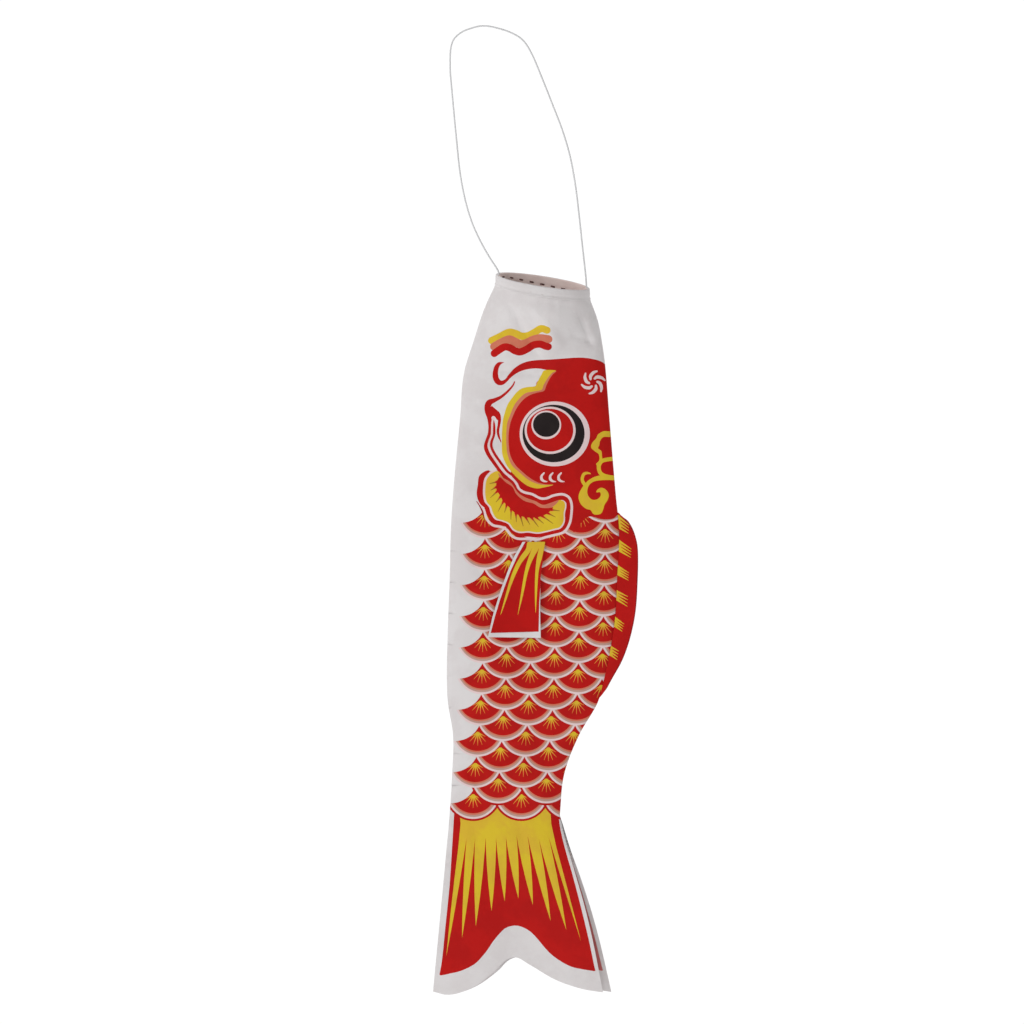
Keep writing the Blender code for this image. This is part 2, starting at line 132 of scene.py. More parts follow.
class Recipe:
    """One material's node tree, built node by node."""

    def __init__(self, name: str) -> None:
        """Starts a material with a Principled shader.

        Args:
            name: the material's name.
        """
        self.material = bpy.data.materials.new(name)
        self.material.use_nodes = True
        self.tree = self.material.node_tree
        self.shader = self.tree.nodes["Principled BSDF"]

    def node(self, kind: str, settings: dict, inputs: dict) -> bpy.types.Node:
        """Adds a node.

        Args:
            kind: the node's type.
            settings: its properties, which are set first.
            inputs: values, signals or sockets for its inputs, by name or number.

        Returns:
            The new node.
        """
        made = self.tree.nodes.new(kind)
        for key, value in settings.items():
            setattr(made, key, value)
        for key, value in inputs.items():
            self.feed(made.inputs[key], value)
        return made

    def feed(self, socket: bpy.types.NodeSocket, value: object) -> None:
        """Links or sets one input socket.

        Args:
            socket: the input.
            value: a Signal, a socket, a number or a colour.
        """
        if isinstance(value, Signal):
            self.tree.links.new(value.socket, socket)
        elif isinstance(value, bpy.types.NodeSocket):
            self.tree.links.new(value, socket)
        else:
            socket.default_value = value

    def out(self, made: bpy.types.Node, key: "int | str") -> Signal:
        """Wraps an output of a node as a Signal."""
        return Signal(self, made.outputs[key])

    def set(self, **values: object) -> None:
        """Sets or links sockets of the shader; an underscore in a name stands for a space.

        Args:
            values: socket names and what feeds them.
        """
        for key, value in values.items():
            self.feed(self.shader.inputs[key.replace("_", " ")], value)

    def mix(self, factor: object, first: object, second: object) -> bpy.types.NodeSocket:
        """Mixes two colours.

        Args:
            factor: share of the second colour.
            first: the first colour or socket.
            second: the second colour or socket.

        Returns:
            The mixed colour's socket.
        """
        made = self.node("ShaderNodeMix", {"data_type": "RGBA"}, {0: factor, 6: first, 7: second})
        return made.outputs[2]

    def noise(self, vector: object, scale: float, detail: float, dimensions: str = "2D") -> Signal:
        """Adds soft noise.

        Args:
            vector: the coordinates.
            scale: how many patches go to a unit of them.
            detail: the noise's octaves.
            dimensions: 2D on flat coordinates and 3D in space.

        Returns:
            The noise, about 0.5 on average.
        """
        inputs = {"Vector": vector, "Scale": scale, "Detail": detail}
        return self.out(self.node("ShaderNodeTexNoise", {"noise_dimensions": dimensions}, inputs), 0)

    def bands(self, vector: object, across: str, scale: float, wobble: float, detail: float = 2.0) -> Signal:
        """Adds parallel bands.

        Args:
            vector: the coordinates.
            across: X or Y, the direction across the bands.
            scale: how close together they are.
            wobble: how unevenly they run.
            detail: the wobble's octaves.

        Returns:
            A wave that is 1 at the crown of each band.
        """
        settings = {"wave_type": "BANDS", "bands_direction": across}
        inputs = {"Vector": vector, "Scale": scale, "Distortion": wobble, "Detail": detail}
        return self.out(self.node("ShaderNodeTexWave", settings, inputs), 1)

    def bump(self, height: object, strength: float, distance: float, under: object = None) -> bpy.types.NodeSocket:
        """Adds a Bump node.

        Args:
            height: what raises the surface.
            strength: how strongly.
            distance: the height of 1, in metres.
            under: a normal that it adds to.

        Returns:
            The bumped normal's socket.
        """
        inputs = {"Height": height, "Strength": strength, "Distance": distance}
        if under is not None:
            inputs["Normal"] = under
        return self.node("ShaderNodeBump", {}, inputs).outputs["Normal"]


def linear(colour: Sequence[float]) -> tuple[float, float, float, float]:
    """An 8-bit screen colour as the linear colour that shaders use.

    Args:
        colour: red, green and blue from 0 to 255.

    Returns:
        The linear colour with an alpha of 1.
    """
    parts = [c / 255 for c in colour]
    parts = [p / 12.92 if p <= 0.04045 else ((p + 0.055) / 1.055) ** 2.4 for p in parts]
    return (*parts, 1.0)


# ---------------------------------------------------------------- finishes


class Ink(Enum):
    """The colours of the printed cloth. CLOTH is the bare cloth. DARK_RED also paints shade along the dorsal fin's
    free edge.
    """

    CLOTH = "cloth"
    RIM = "rim"
    RED = "red"
    DARK_RED = "dark_red"
    YELLOW = "yellow"
    OCHRE = "ochre"
    ORANGE = "orange"
    SALMON = "salmon"
    TAN = "tan"
    BLACK = "black"
    LINING = "lining"


class Face(Enum):
    """The two faces of the cloth: the printed one, and the back that the print shows through."""

    PRINTED = "printed"
    REVERSE = "reverse"


@dataclass(frozen=True)
class InkColour:
    """An ink's main colour and the colour of its mottling, in 8-bit screen values."""

    main: tuple[int, int, int]
    mottle: tuple[int, int, int]
    amount: float = 0.5


INK_COLOURS = {
    Ink.CLOTH: InkColour((228, 224, 224), (220, 214, 214), 0.6),
    Ink.RIM: InkColour((234, 212, 212), (226, 200, 200), 0.5),
    Ink.RED: InkColour((192, 14, 11), (176, 10, 9), 0.6),
    Ink.DARK_RED: InkColour((156, 22, 28), (142, 18, 26), 0.5),
    Ink.YELLOW: InkColour((224, 194, 46), (218, 172, 56), 0.55),
    Ink.OCHRE: InkColour((164, 120, 40), (146, 100, 36), 0.5),
    Ink.ORANGE: InkColour((228, 146, 60), (212, 112, 56), 0.5),
    Ink.SALMON: InkColour((212, 124, 98), (202, 106, 82), 0.5),
    Ink.TAN: InkColour((196, 158, 144), (182, 140, 126), 0.5),
    Ink.BLACK: InkColour((34, 29, 30), (22, 19, 20), 0.5),
    Ink.LINING: InkColour((240, 220, 214), (228, 206, 200), 0.6),
}


# A band texture of this scale repeats once in every unit
BAND_SCALE = 0.314


@dataclass(frozen=True)
class PrintedCloth:
    """Thin satin-woven polyester, dyed with one ink. Patterns follow the flat cloth, in metres."""

    ink: Ink
    face: Face
    yarn_pitch: float = 0.00042
    weft_stretch: float = 0.8
    yarn_shadow: tuple[int, int, int] = (120, 96, 92)
    yarn_contrast: float = 0.035
    weave_height: float = 0.00006
    show_through: float = 0.82
    # Bare cloth of the back, lighter than the front's cloth: painted light that brightens inner faces lying in shade,
    # such as the far tail panel
    bare_back_painted_lighter: tuple[int, int, int] = (236, 230, 228)
    broad_patches: float = 42.0
    fine_patches: float = 260.0
    crumples: float = 75.0
    crumple_height: float = 0.0016
    smoothest: float = 0.40
    specular: float = 0.07

    def material(self) -> bpy.types.Material:
        """Makes the material, or finds it where it has been made.

        Returns:
            The cloth's material for this ink and face.
        """
        name = f"cloth_{self.ink.value}_{self.face.value}"
        if name in bpy.data.materials:
            return bpy.data.materials[name]
        recipe = Recipe(name)
        flat = recipe.node("ShaderNodeUVMap", {"uv_map": "flat"}, {}).outputs["UV"]
        broad = recipe.noise(flat, self.broad_patches, 3.0)
        fine = recipe.noise(flat, self.fine_patches, 2.0)
        colour = INK_COLOURS[self.ink]
        share = recipe.node(
            "ShaderNodeMapRange",
            {"interpolation_type": "SMOOTHSTEP"},
            {"Value": broad * 0.8 + fine * 0.2, "From Min": 0.38, "From Max": 0.62, "To Max": colour.amount},
        )
        tint = recipe.mix(recipe.out(share, 0), linear(colour.main), linear(colour.mottle))
        # The back mixes its ink with that lightened bare cloth: partly real show-through of the print, partly painted
        # light
        if self.face is Face.REVERSE:
            tint = recipe.mix(1.0 - self.show_through, tint, linear(self.bare_back_painted_lighter))
        warp = recipe.bands(flat, "X", BAND_SCALE / self.yarn_pitch, 0.6, 1.0)
        weft = recipe.bands(flat, "Y", BAND_SCALE / (self.yarn_pitch * self.weft_stretch), 0.6, 1.0)
        weave = recipe.bump(warp * 0.5 + weft * 0.5, 0.22, self.weave_height)
        crumpled = recipe.noise(flat, self.crumples, 4.0)
        recipe.set(
            Base_Color=recipe.mix((warp + weft) * self.yarn_contrast, tint, linear(self.yarn_shadow)),
            Roughness=fine * 0.16 + self.smoothest,
            Normal=recipe.bump(crumpled, 0.16, self.crumple_height, weave),
            Specular_IOR_Level=self.specular,
        )
        return recipe.material


@dataclass(frozen=True)
class Filament:
    """Drawn nylon or spun thread: a smooth or twisted surface that takes its pattern from its own UV."""

    name: str
    main: tuple[int, int, int]
    shade: tuple[int, int, int]
    roughness: float
    twist: float
    contrast: float = 0.35
    slant: float = 0.7
    strand_height: float = 0.00008
    scuffs: float = 180.0

    def material(self) -> bpy.types.Material:
        """Makes the filament's material.

        Returns:
            The material.
        """
        if self.name in bpy.data.materials:
            return bpy.data.materials[self.name]
        recipe = Recipe(self.name)
        flat = recipe.node("ShaderNodeUVMap", {"uv_map": "flat"}, {}).outputs["UV"]
        turned = recipe.node("ShaderNodeMapping", {}, {"Vector": flat, "Rotation": (0.0, 0.0, self.slant)}).outputs[0]
        strand = recipe.bands(turned, "X", self.twist, 0.4)
        worn = recipe.noise(flat, self.scuffs, 3.0)
        recipe.set(
            Base_Color=recipe.mix(strand * self.contrast + worn * 0.4, linear(self.main), linear(self.shade)),
            Roughness=worn * 0.2 + self.roughness,
            Normal=recipe.bump(strand, self.contrast, self.strand_height),
        )
        return recipe.material


@dataclass(frozen=True)
class HoopPlastic:
    """Slightly cloudy sheet plastic, scuffed along its length."""

    main: tuple[int, int, int] = (226, 223, 214)
    scuff: tuple[int, int, int] = (198, 193, 182)
    clouds: float = 90.0
    scratches: tuple[float, float, float] = (40.0, 40.0, 1600.0)
    scratch_height: float = 0.00005

    def material(self) -> bpy.types.Material:
        """Makes the plastic's material.

        Returns:
            The material.
        """
        recipe = Recipe("hoop_plastic_finish")
        place = recipe.node("ShaderNodeTexCoord", {}, {}).outputs["Object"]
        drawn = recipe.node("ShaderNodeMapping", {}, {"Vector": place, "Scale": self.scratches}).outputs[0]
        cloudy = recipe.noise(place, self.clouds, 4.0, "3D")
        scratched = recipe.noise(drawn, 1.0, 3.0, "3D")
        recipe.set(
            Base_Color=recipe.mix(cloudy * 0.7, linear(self.main), linear(self.scuff)),
            Roughness=scratched * 0.3 + 0.22,
            Normal=recipe.bump(scratched, 0.2, self.scratch_height),
            Specular_IOR_Level=0.5,
        )
        return recipe.material


@dataclass(frozen=True)
class PalePaper:
    """The studio's plain pale floor, lit from under its surface as a light table is."""

    colour: tuple[int, int, int] = (250, 250, 250)
    fleck: tuple[int, int, int] = (240, 240, 240)
    glow: float = 0.12

    def material(self) -> bpy.types.Material:
        """Makes the floor's material.

        Returns:
            The material.
        """
        recipe = Recipe("studio_paper")
        place = recipe.node("ShaderNodeTexCoord", {}, {}).outputs["Object"]
        grain = recipe.noise(place, 6.0, 2.0, "3D")
        recipe.set(
            Base_Color=recipe.mix(grain * 0.1, linear(self.colour), linear(self.fleck)),
            Roughness=0.9,
            Emission_Color=WHITE,
            Emission_Strength=self.glow,
        )
        return recipe.material


# ---------------------------------------------------------------- plane curves


def catmull(points: Points, step: float = 0.8, closed: bool = False) -> np.ndarray:
    """Evenly fine points on a smooth curve through the given ones.

    Args:
        points: the points to pass through.
        step: about how far apart the fine points are.
        closed: whether the curve returns to its first point.

    Returns:
        An array of points.
    """
    p = np.asarray(points, float)
    if closed:
        p = np.vstack([p[-1:], p, p[:2]])
    else:
        p = np.vstack([2 * p[:1] - p[1:2], p, 2 * p[-1:] - p[-2:-1]])
    fine = []
    for before, a, b, after in zip(p, p[1:], p[2:], p[3:]):
        count = max(1, int(math.ceil(np.linalg.norm(b - a) / step)))
        t = (np.arange(count) / count)[:, None]
        fine.append(
            0.5
            * (
                2 * a
                + (b - before) * t
                + (2 * before - 5 * a + 4 * b - after) * t**2
                + (3 * a - before - 3 * b + after) * t**3
            )
        )
    if not closed:
        fine.append(p[-2:-1])
    return np.vstack(fine)


def hermite(xs: Sequence[float], ys: Sequence[float], x: np.ndarray) -> np.ndarray:
    """Values at x of a smooth curve through the points, which have rising xs.

    Args:
        xs: places of the points.
        ys: values of the points.
        x: where the values are wanted.

    Returns:
        The values.
    """
    xs, ys = np.asarray(xs, float), np.asarray(ys, float)
    slopes = np.diff(ys) / np.diff(xs)
    tangents = np.concatenate([slopes[:1], (slopes[1:] + slopes[:-1]) / 2, slopes[-1:]])
    x = np.clip(np.asarray(x, float), xs[0], xs[-1])
    i = np.clip(np.searchsorted(xs, x) - 1, 0, len(xs) - 2)
    step = xs[i + 1] - xs[i]
    t = (x - xs[i]) / step
    return (
        ys[i] * (2 * t**3 - 3 * t**2 + 1)
        + ys[i + 1] * (3 * t**2 - 2 * t**3)
        + tangents[i] * step * (t**3 - 2 * t**2 + t)
        + tangents[i + 1] * step * (t**3 - t**2)
    )


def smoothstep(x: np.ndarray) -> np.ndarray:
    """A smooth step from 0 at 0 to 1 at 1.

    Args:
        x: where the step is wanted.

    Returns:
        Its values there.
    """
    x = np.clip(x, 0.0, 1.0)
    return x * x * (3 - 2 * x)


def distance_run(line: np.ndarray) -> np.ndarray:
    """How far along a line each of its points lies.

    Args:
        line: the line's points.

    Returns:
        The distances, from 0 at the first point.
    """
    return np.concatenate([[0.0], np.cumsum(np.linalg.norm(np.diff(line, axis=0), axis=1))])


def unit(vectors: np.ndarray) -> np.ndarray:
    """The same vectors with a length of 1."""
    return vectors / np.maximum(np.linalg.norm(vectors, axis=-1, keepdims=True), 1e-12)


def doubled_areas(points: np.ndarray, triangles: np.ndarray) -> np.ndarray:
    """Twice the area of each triangle, below 0 where it runs clockwise.

    Args:
        points: plane points.
        triangles: three points' numbers in each row.

    Returns:
        The doubled areas.
    """
    a, b, c = (points[triangles[:, k]] for k in range(3))
    return (b[:, 0] - a[:, 0]) * (c[:, 1] - a[:, 1]) - (b[:, 1] - a[:, 1]) * (c[:, 0] - a[:, 0])


def inside(points: np.ndarray, polygon: np.ndarray) -> np.ndarray:
    """Which points lie inside a polygon, by winding number.

    Args:
        points: N points.
        polygon: the polygon's corners.

    Returns:
        N truth values.
    """
    ends = np.roll(polygon, -1, axis=0)
    winding = np.zeros(len(points), int)
    for (ax, ay), (bx, by) in zip(polygon, ends):
        side = (bx - ax) * (points[:, 1] - ay) - (points[:, 0] - ax) * (by - ay)
        up = (ay <= points[:, 1]) & (by > points[:, 1]) & (side > 0)
        down = (ay > points[:, 1]) & (by <= points[:, 1]) & (side < 0)
        winding += up.astype(int) - down.astype(int)
    return winding != 0


@dataclass
class Artwork:
    """Ink shapes in the order that they are printed, each over the last."""

    patches: list[tuple[np.ndarray, Ink]] = field(default_factory=list)
    small_step: float = 0.9
    large_step: float = 1.3
    large_radius: float = 10.0
    least_corners: int = 14
    stroke_links: int = 5

    def shape(self, points: Points, ink: Ink, smooth: bool = True, step: float = 0.9) -> None:
        """Adds a filled outline.

        Args:
            points: the outline's points.
            ink: its colour.
            smooth: whether the outline is a smooth curve through them.
            step: how fine the curve is.
        """
        outline = catmull(points, step, closed=True) if smooth else np.asarray(points, float)
        self.patches.append((outline, ink))

    def ellipse(self, centre: Point, rx: float, rz: float, ink: Ink) -> None:
        """Adds a filled ellipse.

        Args:
            centre: its middle.
            rx: its half width.
            rz: its half height.
            ink: its colour.
        """
        step = self.small_step if max(rx, rz) < self.large_radius else self.large_step
        count = max(self.least_corners, int(2 * math.pi * max(rx, rz) / step))
        turn = np.linspace(0, 2 * math.pi, count, endpoint=False)
        ring = np.column_stack([centre[0] + rx * np.cos(turn), centre[1] + rz * np.sin(turn)])
        self.patches.append((ring, ink))

    def bowl(self, centre: Point, radius: float, rise: float, ink: Ink) -> None:
        """Adds the part of a disc that lies below a level.

        Args:
            centre: the disc's middle.
            radius: its radius.
            rise: how far the level lies above its middle.
            ink: its colour.
        """
        start = math.asin(rise / radius)
        count = int((math.pi + 2 * start) * radius / self.large_step)
        turn = np.linspace(start, -math.pi - start, count)
        ring = np.column_stack([centre[0] + radius * np.cos(turn), centre[1] + radius * np.sin(turn)])
        self.patches.append((ring, ink))

    def stroke(
        self, points: Points, width: "float | Sequence[float]", ink: Ink, round_ends: bool = False, step: float = 0.8
    ) -> None:
        """Adds a brush stroke.

        Args:
            points: the stroke's middle line.
            width: its width all along, or one width for each point.
            ink: its colour.
            round_ends: whether the ends are round rather than cut straight.
            step: how fine the curve is.
        """
        line = catmull(points, step)
        given = np.asarray(points, float)
        widths = np.full(len(given), width, float) if np.isscalar(width) else np.asarray(width, float)
        marks, run = distance_run(given), distance_run(line)
        half = np.interp(run * marks[-1] / run[-1], marks, widths)[:, None] / 2
        along = unit(np.gradient(line, axis=0))
        across = np.column_stack([-along[:, 1], along[:, 0]])
        left, right = line + across * half, line - across * half
        for start in range(0, len(line) - 1, self.stroke_links):
            end = min(start + self.stroke_links, len(line) - 1)
            self.patches.append((np.vstack([left[start : end + 1], right[start : end + 1][::-1]]), ink))
        if round_ends:
            for place, reach in ((line[0], half[0, 0]), (line[-1], half[-1, 0])):
                self.ellipse(tuple(place), reach, reach, ink)


# ---------------------------------------------------------------- the streamer's shape


# Drop below the rim, mouth's middle line to the belly edge and to the back edge, and depth (mm)
BODY_OUTLINE = (
    (32, 44.5, 42.0, 41.0),
    (56, 53.3, 46.0, 31.0),
    (74, 59.5, 48.0, 25.0),
    (112, 63.1, 51.0, 18.0),
    (172, 68.6, 56.0, 14.5),
    (196, 70.0, 58.4, 13.5),
    (232, 70.9, 57.0, 12.8),
    (268, 72.2, 54.8, 12.2),
    (316, 73.0, 45.5, 11.6),
    (328, 72.2, 41.8, 11.2),
    (352, 68.4, 28.0, 10.4),
    (382, 69.0, 16.5, 9.8),
    (414, 71.0, 13.0, 9.2),
)

# Drop below the rim, middle line to the belly edge and to the back edge of a tail panel (mm)
TAIL_OUTLINE = (
    (414, 71.0, 13.0),
    (437, 73.0, 18.5),
    (462, 75.4, 26.0),
    (487, 77.8, 33.0),
    (512, 80.2, 38.8),
    (548, 83.6, 45.8),
)

# Across the tail's free edge, belly to back: share of the width, and drop below the rim (mm)
TAIL_EDGE = (
    (0.00, 548.0),
    (0.09, 550.4),
    (0.23, 545.0),
    (0.37, 532.0),
    (0.43, 524.5),
    (0.50, 522.0),
    (0.58, 527.5),
    (0.73, 539.0),
    (0.88, 545.8),
    (1.00, 548.5),
)


@dataclass
class BodyShape:
    """The outside of the cloth fish: a tilted round mouth that flattens into a wide tube, then two panels.

    A place on the cloth is (s, z): s runs along the cloth from the middle of a side, towards the back edge,
    and z is the level, the height before the mouth's tilt. Lengths are millimetres here.
    """

    loop_height: float = 188.0
    mouth_x: float = 44.0
    mouth_width: float = 72.0
    mouth_depth: float = 48.0
    mouth_slope: float = -11.0 / 72.0
    mouth_tip: float = 9.5 / 48.0
    rim_z: float = -194.5
    hem_height: float = 8.0
    neck_z: float = -257.5
    tail_root: float = -602.0
    tail_gap: float = 8.0
    tail_settle: float = 45.0
    tail_spread: float = 6.5
    tail_drop: float = 134.0
    arc_steps: int = 48
    level_tries: int = 8

    @property
    def hem_foot(self) -> float:
        """Level of the casing's foot."""
        return self.rim_z - self.hem_height

    def level(self, drop: "float | np.ndarray") -> "float | np.ndarray":
        """Level of a drop below the rim."""
        return -self.loop_height - drop

    def section(self, z: np.ndarray) -> tuple[np.ndarray, np.ndarray, np.ndarray]:
        """The cloth's section at some levels.

        Args:
            z: the levels.

        Returns:
            Belly edge x, back edge x, and depth.
        """
        z = np.asarray(z, float)
        half = self.mouth_width / 2
        rows = np.array([(-self.hem_foot - self.loop_height, half, half, self.mouth_depth), *BODY_OUTLINE])
        belly, back, depth = (hermite(self.loop_height + rows[:, 0], rows[:, k], -z) for k in (1, 2, 3))
        tail = np.array(TAIL_OUTLINE)
        tail_belly, tail_back = (hermite(self.loop_height + tail[:, 0], tail[:, k], -z) for k in (1, 2))
        low = z < self.tail_root
        left = self.mouth_x - np.where(low, tail_belly, belly)
        right = self.mouth_x + np.where(low, tail_back, back)
        return left, right, depth * (1 - self.settled(z))

    def middle(self, z: np.ndarray) -> tuple[np.ndarray, np.ndarray, np.ndarray]:
        """Middle x, half width and depth of the cloth's section at some levels."""
        left, right, depth = self.section(z)
        return (left + right) / 2, (right - left) / 2, depth

    def settled(self, z: np.ndarray) -> np.ndarray:
        """How far the tail's panels have parted from the closed tube at a level, from 0 to 1."""
        return smoothstep((self.tail_root - np.asarray(z, float)) / self.tail_settle)

    def lean(self, z: np.ndarray) -> np.ndarray:
        """The share of the mouth's tilt at a level: 1 at the casing, 0 at the neck."""
        return np.clip((np.asarray(z, float) - self.neck_z) / (self.hem_foot - self.neck_z), 0.0, 1.0)

    def arcs(self, half: np.ndarray, depth: np.ndarray) -> tuple[np.ndarray, np.ndarray]:
        """Arc length round a quarter of each section, from the middle of its side.

        Args:
            half: half widths of the sections.
            depth: their depths.

        Returns:
            The angles, and for each section the arc length at each angle.
        """
        turn = np.linspace(0, math.pi / 2, self.arc_steps + 1)
        x = half[:, None] * np.sin(turn)
        y = depth[:, None] / 2 * np.cos(turn)
        run = np.hypot(np.diff(x, axis=1), np.diff(y, axis=1))
        return turn, np.hstack([np.zeros((len(half), 1)), np.cumsum(run, axis=1)])

    def reach(self, z: np.ndarray) -> np.ndarray:
        """Arc length from the middle of a side to either edge, at some levels."""
        _, half, depth = self.middle(np.atleast_1d(z))
        return self.arcs(half, depth)[1][:, -1]

    def to_flat(self, view: np.ndarray) -> np.ndarray:
        """Places on the flat cloth of points seen square on from the left side.

        Args:
            view: (x, height) points.

        Returns:
            (s, z) points. Points past an edge go on past it on the cloth.
        """
        view = np.asarray(view, float)
        z = view[:, 1].copy()
        for _ in range(self.level_tries):
            middle, half, depth = self.middle(z)
            x = np.clip(view[:, 0] - middle, -half, half)
            y = -depth / 2 * np.sqrt(np.clip(1 - (x / half) ** 2, 0, 1))
            z = view[:, 1] - self.lean(z) * (self.mouth_slope * x + self.mouth_tip * y)
        middle, half, depth = self.middle(z)
        beyond = view[:, 0] - middle
        turn, run = self.arcs(half, depth)
        angle = np.arcsin(np.clip(np.abs(beyond) / half, 0, 1))
        place = angle / turn[1]
        k = np.clip(place.astype(int), 0, self.arc_steps - 1)
        rows = np.arange(len(k))
        s = run[rows, k] + (run[rows, k + 1] - run[rows, k]) * (place - k)
        s = np.where(np.abs(beyond) > half, run[:, -1] + np.abs(beyond) - half, s)
        return np.column_stack([np.sign(beyond) * s, z])

    def lift(self, flat: np.ndarray, side: int) -> np.ndarray:
        """Points in space of places on the cloth.

        Args:
            flat: (s, z) places.
            side: -1 for the left side and 1 for the right one.

        Returns:
            Points in millimetres.
        """
        s, z = flat[:, 0], flat[:, 1]
        middle, half, depth = self.middle(z)
        turn, run = self.arcs(half, depth)
        s = np.clip(s, -run[:, -1], run[:, -1])
        k = np.clip((run < np.abs(s)[:, None]).sum(1) - 1, 0, self.arc_steps - 1)
        rows = np.arange(len(k))
        part = (np.abs(s) - run[rows, k]) / np.maximum(run[rows, k + 1] - run[rows, k], 1e-9)
        angle = (k + np.clip(part, 0, 1)) * turn[1]
        x = half * np.sin(angle) * np.sign(s)
        y = side * (depth / 2 * np.cos(angle) + self.settled(z) * self.tail_gap / 2)
        tilt = self.lean(z) * (self.mouth_slope * x + self.mouth_tip * y)
        hung = np.clip((self.tail_root - z) / self.tail_drop, 0, 1) ** 0.7
        spread = (side > 0) * self.tail_spread * hung * (x / half + 1) / 2
        return np.column_stack([middle + x + spread, y, z + tilt])

    def tail_level(self, share: np.ndarray) -> np.ndarray:
        """Level of the tail's free edge at a share of its width."""
        return self.level(hermite(*np.array(TAIL_EDGE).T, share))


# ---------------------------------------------------------------- the print


# Middle, half width, half height and ink of each of the eye's ovals, each over the last (mm)
EYE = (
    ((53.1, -311.0), 26.7, 24.7, Ink.RIM),
    ((52.2, -310.7), 23.6, 21.9, Ink.BLACK),
    ((49.6, -308.3), 19.4, 18.0, Ink.RIM),
    ((49.5, -308.2), 17.7, 16.3, Ink.RED),
    ((46.7, -304.2), 11.3, 10.9, Ink.RIM),
    ((46.7, -303.9), 10.1, 9.4, Ink.BLACK),
)

# The next tables are outlines and middle lines of the ink shapes, as (x, height) points (mm)
HEAD_RED = (
    (125, -268), (110, -264.5), (93, -258.5), (90, -256.5), (86, -254.8), (78, -253.3), (70, -253),
    (60, -253.6), (50, -254.2), (40, -254.8), (33, -255.8), (27, -258), (22, -261.5), (18, -266),
    (15.5, -269.3), (12.5, -270.5), (10.5, -268.5), (9.8, -264), (10.8, -260), (12.5, -257.8), (14.5, -256.8),
    (13, -256.4), (10, -256.6), (7.5, -259), (6, -263), (5.8, -268), (7.5, -272), (10.5, -274), (14, -273.5),
    (17, -271), (20.5, -267.5), (25, -264.5), (30, -262.5), (36, -261.4), (42, -261.4), (48, -262.6),
    (54, -263.2), (51, -266), (48.5, -269.5), (46.5, -274), (45, -278), (40, -278.8), (34, -280.5),
    (29.5, -284), (25.5, -290), (22, -297), (19.5, -304), (18.2, -312), (18.5, -320), (20, -328), (20, -336),
    (20, -342), (23, -348), (26, -356), (45, -364), (66, -360), (67, -385), (72, -380), (78, -374.5),
    (82, -374.2), (87, -375.6), (92, -376.2), (98, -375.4), (104, -372), (125, -372),
)

FACE_YELLOW = (
    (54, -262.8), (45.5, -262.6), (43, -266), (40.5, -270.5), (38.5, -274.5), (33, -275.3), (28, -276.5),
    (24, -279.5), (20, -284.5), (17, -289), (15, -295), (13.5, -301), (13, -308), (12.8, -315), (12.8, -322),
    (13.5, -328), (16, -334), (19, -338.5), (23, -343), (28, -347.5), (33, -350.8), (39, -352.5), (44, -352),
    (52, -349.8), (46, -350), (40, -349.1), (33.4, -346.2), (26.6, -340.6), (20.6, -335), (17.5, -328),
    (16.3, -320), (16.2, -311), (16.9, -303), (19.4, -296), (22.4, -289), (26.8, -283.4), (31, -280),
    (36.4, -278.8), (43, -277.4), (44.8, -273.5), (47.7, -268.6), (51, -264.6),
)

FACE_SALMON = (
    (54, -263.2), (51.4, -266), (49, -269.5), (46.8, -274), (45, -278.2), (40, -279.6), (34.5, -281.4),
    (29.4, -284.8), (24.8, -290.4), (21.4, -297), (19, -304), (17.9, -312), (18.1, -320), (19.5, -328),
    (23.4, -335), (28.6, -340), (34, -344.4), (40, -347.8), (46, -349.4), (52, -350),
)

LIP_OUTLINE = (
    (22.5, -271.5), (21, -274.5), (17, -279), (12, -283), (7, -285.5), (3.5, -287), (2, -290), (2, -294),
    (3.2, -299), (4, -305), (3.5, -311), (1.5, -317), (0.8, -321.5), (2.5, -326.5), (6.5, -332.5), (11, -338.5),
    (16, -344), (21, -348.5), (23.5, -353), (28, -357.5), (34, -359), (39, -361), (44, -363.5), (50, -361.5),
    (56, -359.7), (61, -360.5), (63.5, -364), (63.5, -372), (62, -379), (58.5, -384), (52, -386), (46, -387.3),
    (40, -388.6), (33, -388), (26, -388), (21, -385.5), (17, -381), (12, -379.3), (6.5, -378), (3, -373),
    (1, -367), (-3, -363), (-4.8, -357), (-4, -350), (-3, -344), (0.5, -341), (2.5, -340),
)
LIP_WEB = (
    (1.5, -288.2), (3.8, -290.4), (6.1, -292.7), (9.2, -293.9), (11, -296.5), (11.3, -300.3), (9.2, -300.3),
    (7.6, -298.1), (6.1, -297.4), (4.9, -298.4), (4.2, -300.3), (1.5, -297.3), (0.4, -292.7),
)
LIP_WIDTHS = (
    (1.0, 1.3, 1.8, 2.2, 3.2, 4.6, 5.0, 4.4, 3.2, 3.0, 3.0, 3.2, 3.2, 2.8) + (2.6,) * 28 + (3.0, 3.2, 3.4, 3.4, 2.6)
)

LIP_BRANCH = (
    (4, -291), (7, -293.5), (10, -296), (11, -300), (10.5, -304.5), (9.8, -309), (10.5, -313), (12.3, -317.5),
)
LIP_INNER = (
    (5.8, -300.5), (6.8, -305), (6.8, -311), (5, -317), (5, -321), (7.5, -326.5), (12, -333), (17, -339.5),
    (22, -343),
)
LIP_WHITE = (
    (6.5, -298.5), (5.5, -302), (5.3, -308), (5, -312), (3.2, -317), (2.8, -321), (5.5, -327), (10, -334),
    (15, -340.5), (20, -344.5), (24, -349), (26, -353), (30, -355.5), (36, -357), (42, -360), (47, -360),
    (52, -358), (59, -357), (64, -359.5), (66, -365), (65.8, -372), (64.5, -379), (60.5, -385.5), (53, -388),
    (46, -389.8), (40, -391.5), (33, -391), (25, -390.8), (20, -388.3), (16.5, -384), (12, -381.8), (6, -380.5),
    (1.5, -376), (-0.5, -370), (-2, -367), (-6, -363),
)
LIP_SHADOW = ((-6.4, -362.3), (-4, -366), (-2.6, -368.6), (-1.6, -371), (-1, -374), (0, -378))

